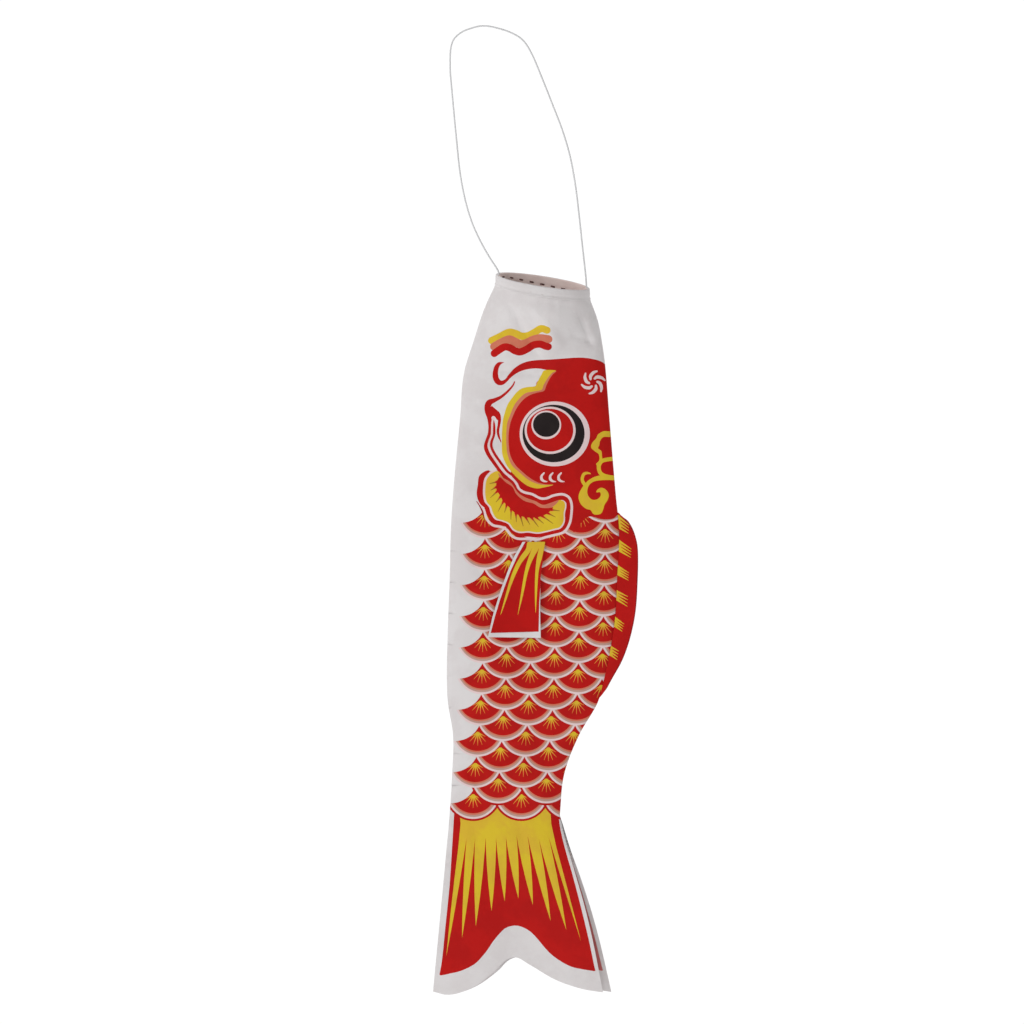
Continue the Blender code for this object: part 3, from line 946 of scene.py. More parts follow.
RUFFLE_YELLOW = (
    (10, -339.5), (6, -340.5), (3, -343), (0.8, -347), (0.2, -353), (0.3, -358), (1.5, -363), (4.5, -366.5),
    (6, -371), (9, -375.5), (14, -377), (18.5, -379), (22, -383.5), (27, -385.5), (33, -385.2), (40, -386),
    (46, -385), (52, -383.5), (57, -382), (59.8, -377.5), (60, -371), (61, -366.5), (60.5, -363),
    (57.5, -361.3), (54, -362.5), (50, -364), (44, -365), (38, -362), (31, -359.5), (25, -355.5), (20, -348.5),
    (14, -344.5),
)
RUFFLE_SALMON = (
    (10, -341), (14, -344.5), (20, -348.5), (25, -355.5), (31, -359.5), (38, -362), (44, -365), (50, -363.5),
    (56, -361.5), (54, -364.6), (49, -368), (42, -369), (36, -368), (28, -366), (22, -361), (17, -355),
    (13, -349),
)
RUFFLE_RED = (
    (9.5, -346), (8.5, -350), (9, -354), (11.5, -358), (14, -362.5), (18, -366.5), (22, -370.5), (27, -373.5),
    (33, -374.8), (40, -374.5), (46, -372.5), (50, -369.5), (52, -367), (48, -367.5), (42, -367), (37, -364),
    (30, -362), (24, -357), (21, -351.5), (16, -348), (11.5, -344),
)

CLOUD_UPPER = (
    (100, -308.6), (95, -309), (90, -309), (86, -311.5), (84.5, -314.5), (81.5, -318), (80.8, -321.5),
    (84, -324.5), (86.5, -326.5), (87, -331), (84.5, -334), (86.5, -336), (89.5, -333), (89.2, -330),
    (89, -328), (88.5, -324), (86, -322), (87, -319.5), (87.5, -316.5), (90, -313.5), (95, -313.3),
    (100, -313.6),
)
CLOUD_MIDDLE = (
    (104, -329.6), (98, -330), (93, -330.5), (88.5, -332), (86.5, -336), (88, -341), (93, -343.5),
    (104, -344.8),
)
CLOUD_SWIRL = (
    (106, -344.2), (97, -344.2), (90, -342.6), (84, -343.5), (78, -347), (73, -353.5), (71.2, -359),
    (73, -364.5), (77, -368), (80.3, -369), (82.5, -372), (85.5, -372.5), (88.5, -371.5), (90.2, -368),
    (91, -365), (93.5, -361), (94.2, -357), (92, -353.5), (88.5, -352), (85.5, -353.5), (84.8, -355.5),
    (87.5, -355.5), (88, -358), (86, -360.5), (82.5, -361.3), (79.5, -359.5), (77.8, -355.5), (79, -350.5),
    (83, -347.2), (90, -346.2), (98, -346.3), (106, -347.2),
)
CLOUD_EAR = ((80.5, -341.3), (77.5, -340.8), (75, -342), (74, -346), (76, -350))

# Ink, width and middle line of each brush stroke on the collar (mm)
STRIPES = (
    (Ink.YELLOW, 5.5, (
        (5, -240), (11, -237.2), (18, -233.8), (23, -234.5), (28, -236.8), (33, -236.3), (38, -233.5),
        (43, -230.5), (47, -231.5),
    )),
    (Ink.SALMON, 6.3, (
        (7, -244.5), (12, -241.8), (18, -239.2), (22, -240.5), (27, -242.8), (32, -241.8), (37, -239.3),
        (42, -238), (48, -238.4),
    )),
    (Ink.RED, 5.6, (
        (7, -249.8), (11, -247), (15, -244.9), (19, -245.5), (23, -247.8), (27, -248.6), (32, -246.5),
        (37, -243.5), (42, -242.5), (46, -243.8), (48, -244.2),
    )),
)

# The tail's red panel, and the tips of its comb's teeth and the valleys between them
TAIL_RED = (
    (-23.2, -590), (-23.4, -597), (-23.9, -606), (-25, -625), (-27, -655), (-30, -685), (-32.5, -710),
    (-34.1, -720), (-34.6, -723.4), (-31.5, -723.3), (-28, -722.5), (-18, -720), (-8, -715), (-2, -709),
    (2, -704), (6, -698), (10, -693), (15, -688), (20, -686), (25, -685.8), (31, -688), (36, -691.5),
    (41, -697), (46, -703), (51, -708), (58, -713), (66, -717), (75, -719), (81, -719.9), (84, -720.2),
    (83.4, -717), (79, -696), (73, -671), (67, -648), (61, -627), (57.5, -612), (56, -600), (56, -592),
    (50, -586), (-10, -586),
)
TAIL_TIPS = (
    (-29.5, -709), (-17.5, -695), (-7, -686), (5, -674.5), (15, -667), (25.5, -665), (36.5, -670), (50, -682),
    (62, -689), (73, -697),
)
TAIL_VALLEYS = (
    (-14, -619), (-7.5, -618.5), (0.5, -618.5), (8.5, -618.5), (16, -618), (24, -616.5), (32.5, -617),
    (41, -619.5), (48.5, -618),
)


# How far a tooth's side bows, as a share of the tooth's width
TOOTH_BOW = 0.42

# One tick on the cheek and the shifts that repeat it
TICK = ((45, -340.8), (43.2, -343), (43.2, -345.5), (45, -347), (47.3, -347.4))
TICK_SHIFTS = (0.0, 6.6, 13.0)

# The crown's flower: middle, number of petals, and each petal's line as radius, degrees round and width
FLOWER_MIDDLE = (82.5, -271.8)
FLOWER_PETALS = 6
PETAL = ((3.2, 69, 1.7), (5.2, 53, 2.5), (7.4, 29, 2.3), (9.0, 11, 1.3))

# The gill ruffle: how many rays of each kind, and what its white edge is grown from and by
RUFFLE_RAYS = 15
RUFFLE_MIDDLE = (30.0, -362.0)
RUFFLE_GROWTH = 1.045

# The leftmost scales' middle: height and x (mm)
SCALE_EDGE = ((-592, -10), (-581, -9), (-545, -6.5), (-511, -3.5), (-480, -2), (-450, -1.5), (-391, 0))


@dataclass
class ScalePrint:
    """Overlapping fan scales in rows, each with a pale rim and a burst of rays."""

    first_row: int = -2
    last_row: int = 16
    top: float = -391.0
    row_step: float = 11.88
    column_step: float = 36.6
    centre_drop: float = 3.1
    overlap: float = 2.5
    columns: int = 5
    last_x: float = 135.0
    border: float = 1.6
    hub_drop: float = 5.0
    hub_radius: float = 0.6
    bud: tuple[float, float, float] = (5.6, 1.6, 1.2)
    ray_widths: tuple[float, float, float] = (0.9, 0.75, 0.25)
    core_widths: tuple[float, float] = (0.9, 0.45)
    rings: tuple = ((20.2, 3.1, Ink.RIM), (18.7, 3.1, Ink.TAN), (18.0, 2.2, Ink.SALMON), (17.4, 1.6, Ink.RED))
    rays: tuple = ((0, 9.9), (20, 9.8), (-20, 9.8), (42, 9.2), (-42, 9.2), (63, 6.6), (-63, 6.6))

    def first_column(self, z: float) -> float:
        """The x of the leftmost column at a height, which wanders with the belly edge."""
        return float(np.interp(z, *np.array(SCALE_EDGE).T))

    def ring(self, art: Artwork, cx: float, peak: float, radius: float, drop: float, ink: Ink, row: int) -> None:
        """One disc of a scale, without the top that the rows above cover.

        Args:
            art: the artwork to print on.
            cx: middle of the scale.
            peak: height of its highest visible point.
            radius: the disc's radius.
            drop: how far its middle lies below that point.
            ink: its colour.
            row: the scale's row; the first rows have none above them, so they stay whole.
        """
        if row < self.first_row + 2:
            art.ellipse((cx, peak - drop), radius, radius, ink)
        else:
            art.bowl((cx, peak - drop), radius, drop + self.overlap, ink)

    def disc(self, art: Artwork, cx: float, peak: float, row: int) -> None:
        """One scale as nested discs.

        Args:
            art: the artwork to print on.
            cx: middle of the scale.
            peak: height of its highest visible point.
            row: its row; a red line goes round the last two rows.
        """
        if row >= self.last_row - 1:
            self.ring(art, cx, peak, self.rings[0][0] + self.border, self.centre_drop, Ink.RED, row)
        for radius, drop, ink in self.rings:
            self.ring(art, cx, peak, radius, drop, ink, row)
        for angle, length in self.rays:
            turn = math.radians(angle)
            ends = []
            for share in (0.0, 0.5, 1.0):
                run = self.hub_radius + (length - self.hub_radius) * share
                ends.append((cx + run * math.sin(turn), peak - self.hub_drop - run * math.cos(turn)))
            art.stroke(ends, self.ray_widths, Ink.ORANGE, step=3.0)
            art.stroke(ends[:2], self.core_widths, Ink.YELLOW, step=3.0)
        drop, rx, rz = self.bud
        art.ellipse((cx, peak - drop), rx, rz, Ink.YELLOW)

    def print_on(self, art: Artwork) -> None:
        """Prints every row from the lowest up.

        Args:
            art: the artwork to print on.
        """
        for row in range(self.last_row, self.first_row - 2, -1):
            peak = self.top - self.row_step * row
            odd = row % 2
            start = self.first_column(peak) + odd * self.column_step / 2
            if odd:
                blank = start - self.column_step
                self.ring(art, blank, peak, self.rings[0][0], self.centre_drop, Ink.CLOTH, row)
            for column in range(2 if row < self.first_row else 0, self.columns):
                cx = start + self.column_step * column
                if cx < self.last_x:
                    self.disc(art, cx, peak, row)


def tooth_side(valley: Point, tip: Point, bow: float) -> list[Point]:
    """Points along one bowed side of a tooth of the tail's comb.

    Args:
        valley: where the side starts.
        tip: the tooth's tip.
        bow: how strongly the side bows, to the right where it is above 0.

    Returns:
        The points from the valley towards the tip.
    """
    return [
        (valley[0] + (tip[0] - valley[0]) * t + bow * (1 - t) * t, valley[1] + (tip[1] - valley[1]) * t)
        for t in (0.15, 0.4, 0.65, 0.85)
    ]


def print_tail(art: Artwork) -> None:
    """The tail's red panel with its yellow comb.

    Args:
        art: the artwork to print on.
    """
    art.shape(TAIL_RED, Ink.RED, step=3.0)
    valleys = [(-18.5, -612), *TAIL_VALLEYS, (50.6, -612)]
    comb = [(-18.6, -592), (-18.6, -608)]
    for before, tip, after in zip(valleys, TAIL_TIPS, valleys[1:]):
        bow = TOOTH_BOW * (after[0] - before[0])
        comb += [*tooth_side(before, tip, -bow), tip, *reversed(tooth_side(after, tip, bow)), after]
    comb[-1:] = [(50.5, -608), (50.5, -592)]
    art.shape(comb, Ink.YELLOW, smooth=False)


def print_head(art: Artwork) -> None:
    """The red head with its yellow face band, eye, cheek ticks, clouds and crown flower.

    Args:
        art: the artwork to print on.
    """
    art.shape(HEAD_RED, Ink.RED)
    art.stroke(FACE_SALMON, 5.0, Ink.RED)
    art.shape(FACE_SALMON + FACE_YELLOW[22:2:-1], Ink.SALMON)
    art.shape(FACE_YELLOW, Ink.YELLOW)
    for centre, rx, rz, ink in EYE:
        art.ellipse(centre, rx, rz, ink)
    for shift in TICK_SHIFTS:
        art.stroke([(x + shift, z) for x, z in TICK], (1.2, 1.8, 2.2, 1.6, 0.6), Ink.RIM, round_ends=True)
    for petal in range(FLOWER_PETALS):
        points = []
        for run, ahead, _ in PETAL:
            turn = math.radians(360 / FLOWER_PETALS * petal + ahead)
            points.append((FLOWER_MIDDLE[0] + run * math.cos(turn), FLOWER_MIDDLE[1] + run * math.sin(turn)))
        art.stroke(points, [width for _, _, width in PETAL], Ink.RIM, round_ends=True)
    art.shape(CLOUD_UPPER, Ink.YELLOW)
    art.stroke(CLOUD_MIDDLE, 3.0, Ink.YELLOW)
    art.shape(CLOUD_SWIRL, Ink.YELLOW)
    art.stroke(CLOUD_EAR, (0.8, 2.0, 2.4, 2.4, 2.6), Ink.YELLOW)


def print_lips(art: Artwork) -> None:
    """The mouth's red outline and the pleated gill ruffle under it.

    Args:
        art: the artwork to print on.
    """
    art.shape(LIP_OUTLINE[15:], Ink.RED)
    art.stroke(LIP_WHITE, 1.9, Ink.RIM)
    art.stroke(LIP_SHADOW, (0.5, 0.9, 1.2, 1.2, 0.9, 0.4), Ink.DARK_RED)
    art.stroke(LIP_OUTLINE, LIP_WIDTHS, Ink.RED, round_ends=True)
    art.stroke(LIP_BRANCH, (3.6, 3.4, 3.0, 2.4, 2.0, 2.0, 1.6, 0.5), Ink.RED)
    art.stroke(LIP_INNER, 2.0, Ink.RED)
    art.stroke(LIP_WHITE[:13], 1.5, Ink.RIM, round_ends=True)
    art.shape(LIP_WEB, Ink.RED)
    centre = np.array(RUFFLE_MIDDLE)
    art.shape(centre + (np.array(RUFFLE_YELLOW) - centre) * RUFFLE_GROWTH - (0.4, 0.0), Ink.RIM)
    art.shape(RUFFLE_YELLOW, Ink.YELLOW)
    art.shape(RUFFLE_SALMON, Ink.SALMON)
    outer = catmull(RUFFLE_YELLOW[3:22], 1.0)
    inner = catmull(RUFFLE_RED[:13], 1.0)
    for number in range(RUFFLE_RAYS):
        share = (number + 0.5) / RUFFLE_RAYS
        a = outer[int(share * (len(outer) - 1))]
        b = inner[int(share * (len(inner) - 1))]
        for reach, widths, ink in (
            (0.30, (2.9, 1.8, 0.5), Ink.ORANGE),
            (0.66 - 0.16 * (number % 2), (1.1, 0.9, 0.4), Ink.OCHRE),
            (0.18, (2.1, 1.2, 0.3), Ink.RED),
        ):
            ray = [tuple(b + (a - b) * t) for t in (-0.06, reach / 2, reach)]
            art.stroke(ray, widths, ink, step=2.0)
    art.shape(RUFFLE_RED, Ink.RED)


def body_artwork() -> Artwork:
    """The whole side of the fish.

    Returns:
        The artwork, in millimetres, seen square on from the left side.
    """
    art = Artwork()
    print_tail(art)
    ScalePrint().print_on(art)
    print_head(art)
    print_lips(art)
    for ink, width, points in STRIPES:
        art.stroke(points, width, ink, round_ends=True)
    return art


# ---------------------------------------------------------------- printed cloth meshes


@dataclass
class FlatCloth:
    """A printed piece of cloth while it is still flat: points, triangles and an ink for each triangle."""

    points: np.ndarray
    triangles: np.ndarray
    inks: list[Ink]

    @property
    def area(self) -> float:
        """The flat area of one layer, in the points' own unit squared."""
        return float(np.abs(doubled_areas(self.points, self.triangles)).sum() / 2)


def print_cloth(outline: np.ndarray, extra: np.ndarray, patches: Iterable[tuple[np.ndarray, Ink]]) -> FlatCloth:
    """Cuts a piece of flat cloth into triangles whose edges follow the print.

    Args:
        outline: the piece's edge, as points in order.
        extra: points inside it, which keep the triangles small enough to bend.
        patches: the ink shapes, each over the last.

    Returns:
        The flat cloth.
    """
    low, high = outline.min(0), outline.max(0)
    kept = [(p, ink) for p, ink in patches if (p.max(0) > low).all() and (p.min(0) < high).all()]
    rings = [outline] + [polygon for polygon, _ in kept]
    edges, count = [], 0
    for ring in rings:
        edges += [(count + k, count + (k + 1) % len(ring)) for k in range(len(ring))]
        count += len(ring)
    every = [Vector(p) for p in np.vstack([*rings, extra])]
    made = geometry.delaunay_2d_cdt(every, edges, [], 0, 1e-4)
    places = np.array([tuple(v) for v in made[0]])
    triangles = np.array([f for f in made[2] if len(f) == 3])
    centre = places[triangles].mean(axis=1)
    turned = doubled_areas(places, triangles)
    triangles[turned < 0] = triangles[turned < 0][:, ::-1]
    held = inside(centre, outline) & (np.abs(turned) > 1e-9)
    triangles, centre = triangles[held], centre[held]
    ink_of = np.full(len(centre), -1)
    for number, (polygon, _) in enumerate(kept):
        near = np.flatnonzero((centre > polygon.min(0)).all(1) & (centre < polygon.max(0)).all(1))
        if len(near):
            ink_of[near[inside(centre[near], polygon)]] = number
    inks = [Ink.CLOTH if k < 0 else kept[k][1] for k in ink_of]
    used = np.unique(triangles)
    index = np.full(len(places), -1)
    index[used] = np.arange(len(used))
    return FlatCloth(places[used], index[triangles], inks)


def cloth_object(
    name: str,
    points: np.ndarray,
    normals: np.ndarray,
    triangles: np.ndarray,
    inks: Sequence[Ink],
    flat: np.ndarray,
    wall: float,
    back: Face = Face.REVERSE,
) -> bpy.types.Object:
    """Makes a sheet with a wall from its outer layer.

    Args:
        name: the object's name.
        points: points of the outer layer, in metres.
        normals: the outward direction at each point.
        triangles: the outer layer's triangles.
        inks: an ink for each triangle.
        flat: the flat place of each point, in metres.
        wall: the cloth's thickness, in metres.
        back: how the inner layer is finished.

    Returns:
        The sheet, with a material for each ink and for each ink's reverse.
    """
    count = len(points)
    border = {}
    for triangle in triangles:
        for a, b in zip(triangle, np.roll(triangle, -1)):
            if border.pop((b, a), None) is None:
                border[(a, b)] = True
    rim = np.array([(b, a, a + count, b + count) for a, b in border])
    every = np.vstack([points, points - normals * wall])
    faces = [tuple(t) for t in triangles] + [tuple(t[::-1] + count) for t in triangles] + [tuple(r) for r in rim]
    mesh = bpy.data.meshes.new(name)
    mesh.from_pydata([tuple(p) for p in every], [], faces)
    slots = sorted({ink.value for ink in inks})
    for face in (Face.PRINTED, back):
        for value in slots:
            mesh.materials.append(PrintedCloth(Ink(value), face).material())
    outer = np.array([slots.index(ink.value) for ink in inks])
    edge = np.full(len(rim), slots.index(Ink.CLOTH.value) if Ink.CLOTH.value in slots else 0)
    mesh.polygons.foreach_set("material_index", np.concatenate([outer, outer + len(slots), edge]).astype(np.int32))
    corners = np.zeros(len(mesh.loops), np.int32)
    mesh.loops.foreach_get("vertex_index", corners)
    layer = mesh.uv_layers.new(name="flat")
    layer.data.foreach_set("uv", np.vstack([flat, flat])[corners].astype(np.float32).ravel())
    mesh.shade_smooth()
    mesh.normals_split_custom_set_from_vertices([tuple(n) for n in np.vstack([normals, -normals])])
    return add_object(name, mesh)


def grid_triangles(rows: int, columns: int, closed: bool) -> np.ndarray:
    """Triangles of a grid of points, row by row.

    Args:
        rows: how many rows of points.
        columns: how many points to a row.
        closed: whether each row's last point joins its first.

    Returns:
        The triangles.
    """
    made = []
    for r in range(rows - 1):
        for c in range(columns if closed else columns - 1):
            n = (c + 1) % columns
            a, b, d, e = r * columns + c, r * columns + n, (r + 1) * columns + n, (r + 1) * columns + c
            made += [(a, b, d), (a, d, e)]
    return np.array(made)


def ring_normals(grid: np.ndarray) -> np.ndarray:
    """Outward unit normals of points in rings that run anticlockwise and follow each other upwards.

    Args:
        grid: rings x points x 3.

    Returns:
        The normals, in the same order.
    """
    along = np.roll(grid, -1, axis=1) - np.roll(grid, 1, axis=1)
    return unit(np.cross(along, np.gradient(grid, axis=0)))


# A direction that none of the lines runs in; a tube's first ring is turned from it
ANY_DIRECTION = (0.31, 0.83, 0.47)


def tube_object(
    name: str, line: np.ndarray, radius: float, sides: int, finish: bpy.types.Material
) -> bpy.types.Object:
    """A round tube with closed ends along a line.

    Args:
        name: the object's name.
        line: the middle line's points, in metres.
        radius: the tube's radius.
        sides: how many faces go round it.
        finish: its material.

    Returns:
        The tube.
    """
    along = unit(np.gradient(line, axis=0))
    across = np.cross(along[0], ANY_DIRECTION)
    turn = np.linspace(0, 2 * math.pi, sides, endpoint=False)
    rings = []
    for place, direction in zip(line, along):
        across = unit(across - direction * (across @ direction))
        third = np.cross(direction, across)
        rings.append(place + radius * (np.cos(turn)[:, None] * across + np.sin(turn)[:, None] * third))
    run = distance_run(line)
    built = bmesh.new()
    layer = built.loops.layers.uv.new("flat")
    verts = [[built.verts.new(p) for p in ring] for ring in rings]
    for r in range(len(rings) - 1):
        for c in range(sides):
            n = (c + 1) % sides
            face = built.faces.new((verts[r][c], verts[r][n], verts[r + 1][n], verts[r + 1][c]))
            for loop, (row, column) in zip(face.loops, ((r, c), (r, c + 1), (r + 1, c + 1), (r + 1, c))):
                loop[layer].uv = (run[row], 2 * math.pi * radius * column / sides)
    for end, away in ((0, -0.5), (-1, 0.5)):
        ring, tip = verts[end], built.verts.new(line[end] + along[end] * radius * away)
        for c in range(sides):
            built.faces.new((ring[c], ring[(c + 1) % sides], tip))
    bmesh.ops.recalc_face_normals(built, faces=built.faces)
    mesh = bpy.data.meshes.new(name)
    built.to_mesh(mesh)
    built.free()
    mesh.materials.append(finish)
    mesh.shade_smooth()
    return add_object(name, mesh)


# ---------------------------------------------------------------- sub-assemblies


@dataclass
class BodyCloth:
    """The printed tube in three sheets, cut across where nothing bends, with two loose tail panels."""

    shape: BodyShape
    wall: float = 0.00028
    pitch: float = 2.6
    edge_step: float = 2.5
    edge_columns: tuple[float, ...] = (0.4, 1.0, 1.9, 3.2, 4.8)
    cuts: tuple[float, float] = (-300.0, -455.0)
    tuck: float = 0.7
    end_columns: int = 60
    probe: float = 0.12
    seam_inset: float = 0.9
    seam_width: float = 5.5
    seam_y: float = 0.14
    fine_height: float = 0.22
    gather_height: float = 0.28
    tail_wave_height: float = 2.0

    def outline(self, top: float, bottom: float, tail: bool) -> np.ndarray:
        """The edge of one side of a sheet on the flat cloth.

        Args:
            top: its upper level.
            bottom: its lower level, or that of the tail's corners.
            tail: whether it ends in the tail's shaped edge.

        Returns:
            The outline's points, from the lower belly corner round by the back.
        """
        levels = np.linspace(bottom, top, int(round((top - bottom) / self.edge_step)) + 1)
        share = np.linspace(0, 1, self.end_columns)
        if tail:
            low = self.shape.tail_level(share)
            levels = np.linspace(low[-1], top, len(levels))
            belly = np.linspace(top, low[0], len(levels))
        else:
            low = np.full(len(share), bottom)
            belly = levels[::-1]
        foot = np.column_stack([(2 * share - 1) * self.shape.reach(low), low])
        head = np.full(len(share), top)
        crown = np.column_stack([(1 - 2 * share) * self.shape.reach(head), head])
        back = np.column_stack([self.shape.reach(levels), levels])
        front = np.column_stack([-self.shape.reach(belly), belly])
        return np.vstack([foot, back[1:-1], crown, front[1:-1]])

    def fill(self, outline: np.ndarray) -> np.ndarray:
        """Points inside an outline, closer together towards the belly and back edges.

        Args:
            outline: the flat outline.

        Returns:
            The points.
        """
        low, high = outline[:, 1].min(), outline[:, 1].max()
        made = []
        for number, z in enumerate(np.arange(low + self.pitch / 2, high - self.pitch / 3, self.pitch)):
            reach = float(self.shape.reach(z)[0])
            last = reach - self.edge_columns[-1] - self.pitch / 2
            count = int(last / self.pitch)
            middle = (np.arange(-count, count + 1) + 0.5 * (number % 2)) * self.pitch
            edges = [side * (reach - inset) for inset in self.edge_columns for side in (-1, 1)]
            made += [(s, z) for s in list(middle[np.abs(middle) < last]) + edges]
        made = np.array(made)
        return made[inside(made, outline)]

    def ripple(self, flat: np.ndarray, side: int) -> np.ndarray:
        """How far the hanging cloth stands out from its smooth shape.

        Args:
            flat: places on the cloth.
            side: -1 for the left side and 1 for the right one.

        Returns:
            Heights in millimetres.
        """
        s, z = flat[:, 0], flat[:, 1]
        reach = self.shape.reach(z)
        room = smoothstep((reach - np.abs(s)) / 9.0) * smoothstep((self.shape.hem_foot - z) / 14.0)
        phase = 1.3 * side
        soft = sum(h * np.sin(s / across + z / down + turn * phase) for h, across, down, turn in SLOW_WAVES)
        soft += self.fine_height * np.sin(z / 9.5 + 1.4 * np.sin(s / 21.0) + phase) * smoothstep((-z - 430.0) / 60.0)
        for x0, z0, x1, z1, width, height, own in CREASES:
            if own * side < 0:
                continue
            d = np.array([x1 - x0, z1 - z0])
            length = float(np.hypot(*d))
            t = ((s - x0) * d[0] + (z - z0) * d[1]) / length**2
            off = ((s - x0) * d[1] - (z - z0) * d[0]) / length
            ends = smoothstep(t / 0.25) * smoothstep((1 - t) / 0.25)
            soft = soft + height * ends * np.exp(-((off / width) ** 2))
        below = self.shape.hem_foot - z
        gathers = np.sin(s / 1.9 + 1.6 * np.sin(s / 6.3 + side)) * np.exp(-np.maximum(below, 0) / 9.0)
        gathers = self.gather_height * gathers * smoothstep(below / 2.5) * smoothstep((reach - np.abs(s)) / 6.0)
        loose = self.shape.settled(z)
        hung = np.clip((self.shape.tail_root - z) / self.shape.tail_drop, 0, 1)
        wave = self.tail_wave_height * np.sin(s / 13.0 + 0.9 * side + z / 90.0) * hung
        return gathers + room * soft * (1 - 0.6 * loose) + wave * loose * 0.8

    def surface(self, flat: np.ndarray, side: int) -> np.ndarray:
        """Points of the rippled outside, in millimetres."""
        outward = self.normals(self.shape.lift, flat, side)
        return self.shape.lift(flat, side) + outward * self.ripple(flat, side)[:, None]

    def normals(self, surface: Callable, flat: np.ndarray, side: int) -> np.ndarray:
        """Outward unit normals of a surface over the flat cloth.

        Args:
            surface: gives points for places and a side.
            flat: places on the cloth.
            side: -1 for the left side and 1 for the right one.

        Returns:
            The normals.
        """
        inward = np.where(flat[:, 0] > 0, -self.probe, self.probe)[:, None]
        across = (surface(flat + np.hstack([inward, 0 * inward]), side) - surface(flat, side)) / inward
        down = surface(flat + (0.0, self.probe), side) - surface(flat - (0.0, self.probe), side)
        return unit(np.cross(across, down) * -side)

    def sheet(self, name: str, top: float, bottom: float, tail: bool, art: Artwork) -> tuple[bpy.types.Object, float]:
        """Prints, cuts and lifts one sheet.

        Args:
            name: the piece's name.
            top: its upper level.
            bottom: its lower level.
            tail: whether it ends in the tail panels.
            art: the artwork on the flat cloth.

        Returns:
            The sheet and its flat area in square metres.
        """
        outline = self.outline(top, bottom, tail)
        flat = print_cloth(outline, self.fill(outline), art.patches)
        reach = self.shape.reach(flat.points[:, 1])
        shared = (reach - np.abs(flat.points[:, 0]) < 0.05) & (flat.points[:, 1] > self.shape.tail_root - 0.01)
        near, far = (self.surface(flat.points, side) for side in (-1, 1))
        near_normal, far_normal = (self.normals(self.surface, flat.points, side) for side in (-1, 1))
        near_normal[shared] = unit(near_normal[shared] + far_normal[shared])
        own = ~shared
        index = np.where(shared, np.arange(len(near)), len(near) + np.cumsum(own) - 1)
        strip, strip_triangles = self.seam_strip(top, max(bottom, self.shape.tail_root))
        points = np.vstack([near, far[own], strip])
        normals = np.vstack([near_normal, far_normal[own], np.tile((0.0, -1.0, 0.0), (len(strip), 1))])
        start = len(points) - len(strip)
        triangles = np.vstack([flat.triangles, index[flat.triangles][:, ::-1], strip_triangles + start])
        far_places = flat.points[own] * (-1.0, 1.0) + (FLAT_SHIFT, 0.0)
        places = np.vstack([flat.points, far_places, strip[:, [0, 2]] + (2 * FLAT_SHIFT, 0.0)])
        inks = flat.inks * 2 + [Ink.CLOTH] * len(strip_triangles)
        made = cloth_object(name, points * MM, normals, triangles, inks, places * MM, self.wall)
        return made, 2 * flat.area * MM * MM

    def seam_strip(self, top: float, bottom: float) -> tuple[np.ndarray, np.ndarray]:
        """The seam allowance that stands inside the back edge.

        Args:
            top: its upper level.
            bottom: its lower level.

        Returns:
            Its points and triangles, in millimetres.
        """
        levels = np.linspace(top - 1.0, bottom + 0.5, int((top - bottom) / 5))
        insets = np.linspace(self.seam_inset, self.seam_inset + self.seam_width, 4)
        backs = self.shape.lift(np.column_stack([np.full(len(levels), 1e3), levels]), -1)
        points = [
            (back[0] - inset, self.seam_y, back[2] + 0.1 * math.sin(z / 7))
            for back, z in zip(backs, levels)
            for inset in insets
        ]
        return np.array(points), grid_triangles(len(levels), len(insets), False)[:, ::-1]

    def build(self) -> None:
        art = body_artwork()
        art.patches = [(self.shape.to_flat(polygon), ink) for polygon, ink in art.patches]
        top = self.shape.hem_foot + self.tuck
        tail = float(self.shape.tail_level(np.array([0.0]))[0])
        levels = (top, *self.cuts, tail)
        for number, (name, first, second, bend_top, bend_foot, nodes) in enumerate(BODY_SHEETS):
            high, low = levels[number : number + 2]
            is_tail = low == tail
            piece, area = self.sheet(name, high, low, is_tail, art)
            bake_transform(piece)
            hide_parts(*nodes)
            width = 4 * float(self.shape.reach(np.linspace(high, low, 40)).max()) * MM
            foot = self.shape.level(max(drop for _, drop in TAIL_EDGE)) if is_tail else low
            length = (high - foot) * MM
            LOG.info("%s: %d faces, flat %.0f x %.0f mm", name, len(piece.data.polygons), width / MM, length / MM)


# Each sheet from the mouth down: the bodies that it joins, the heights that its bend starts and ends at (mm),
# and the CAD nodes that it stands for
BODY_SHEETS = (
    ("collar_and_head_cloth", "mouth", "head", -238.0, -288.0,
     ("collar_cloth", "neck_fold", "back_seam_collar", "back_seam_head")),
    ("trunk_cloth_printed", "head", "trunk", -310.0, -364.0,
     ("head_cloth", "trunk_fold", "back_seam_trunk")),
    ("lower_body_and_tail", "trunk", "tail", -535.0, -607.0,
     ("trunk_cloth", "tail_fold", "tail_stock_cloth", "back_seam_tail", "tail_left", "tail_right")),
)

# How far apart the layers lie on the flat pattern (mm)
FLAT_SHIFT = 400.0

# The hung cloth's slow waves: height, run across and run down (mm), and turn between the sides
SLOW_WAVES = ((0.55, 17.0, 61.0, 1.0), (0.45, 29.0, -37.0, 2.1))

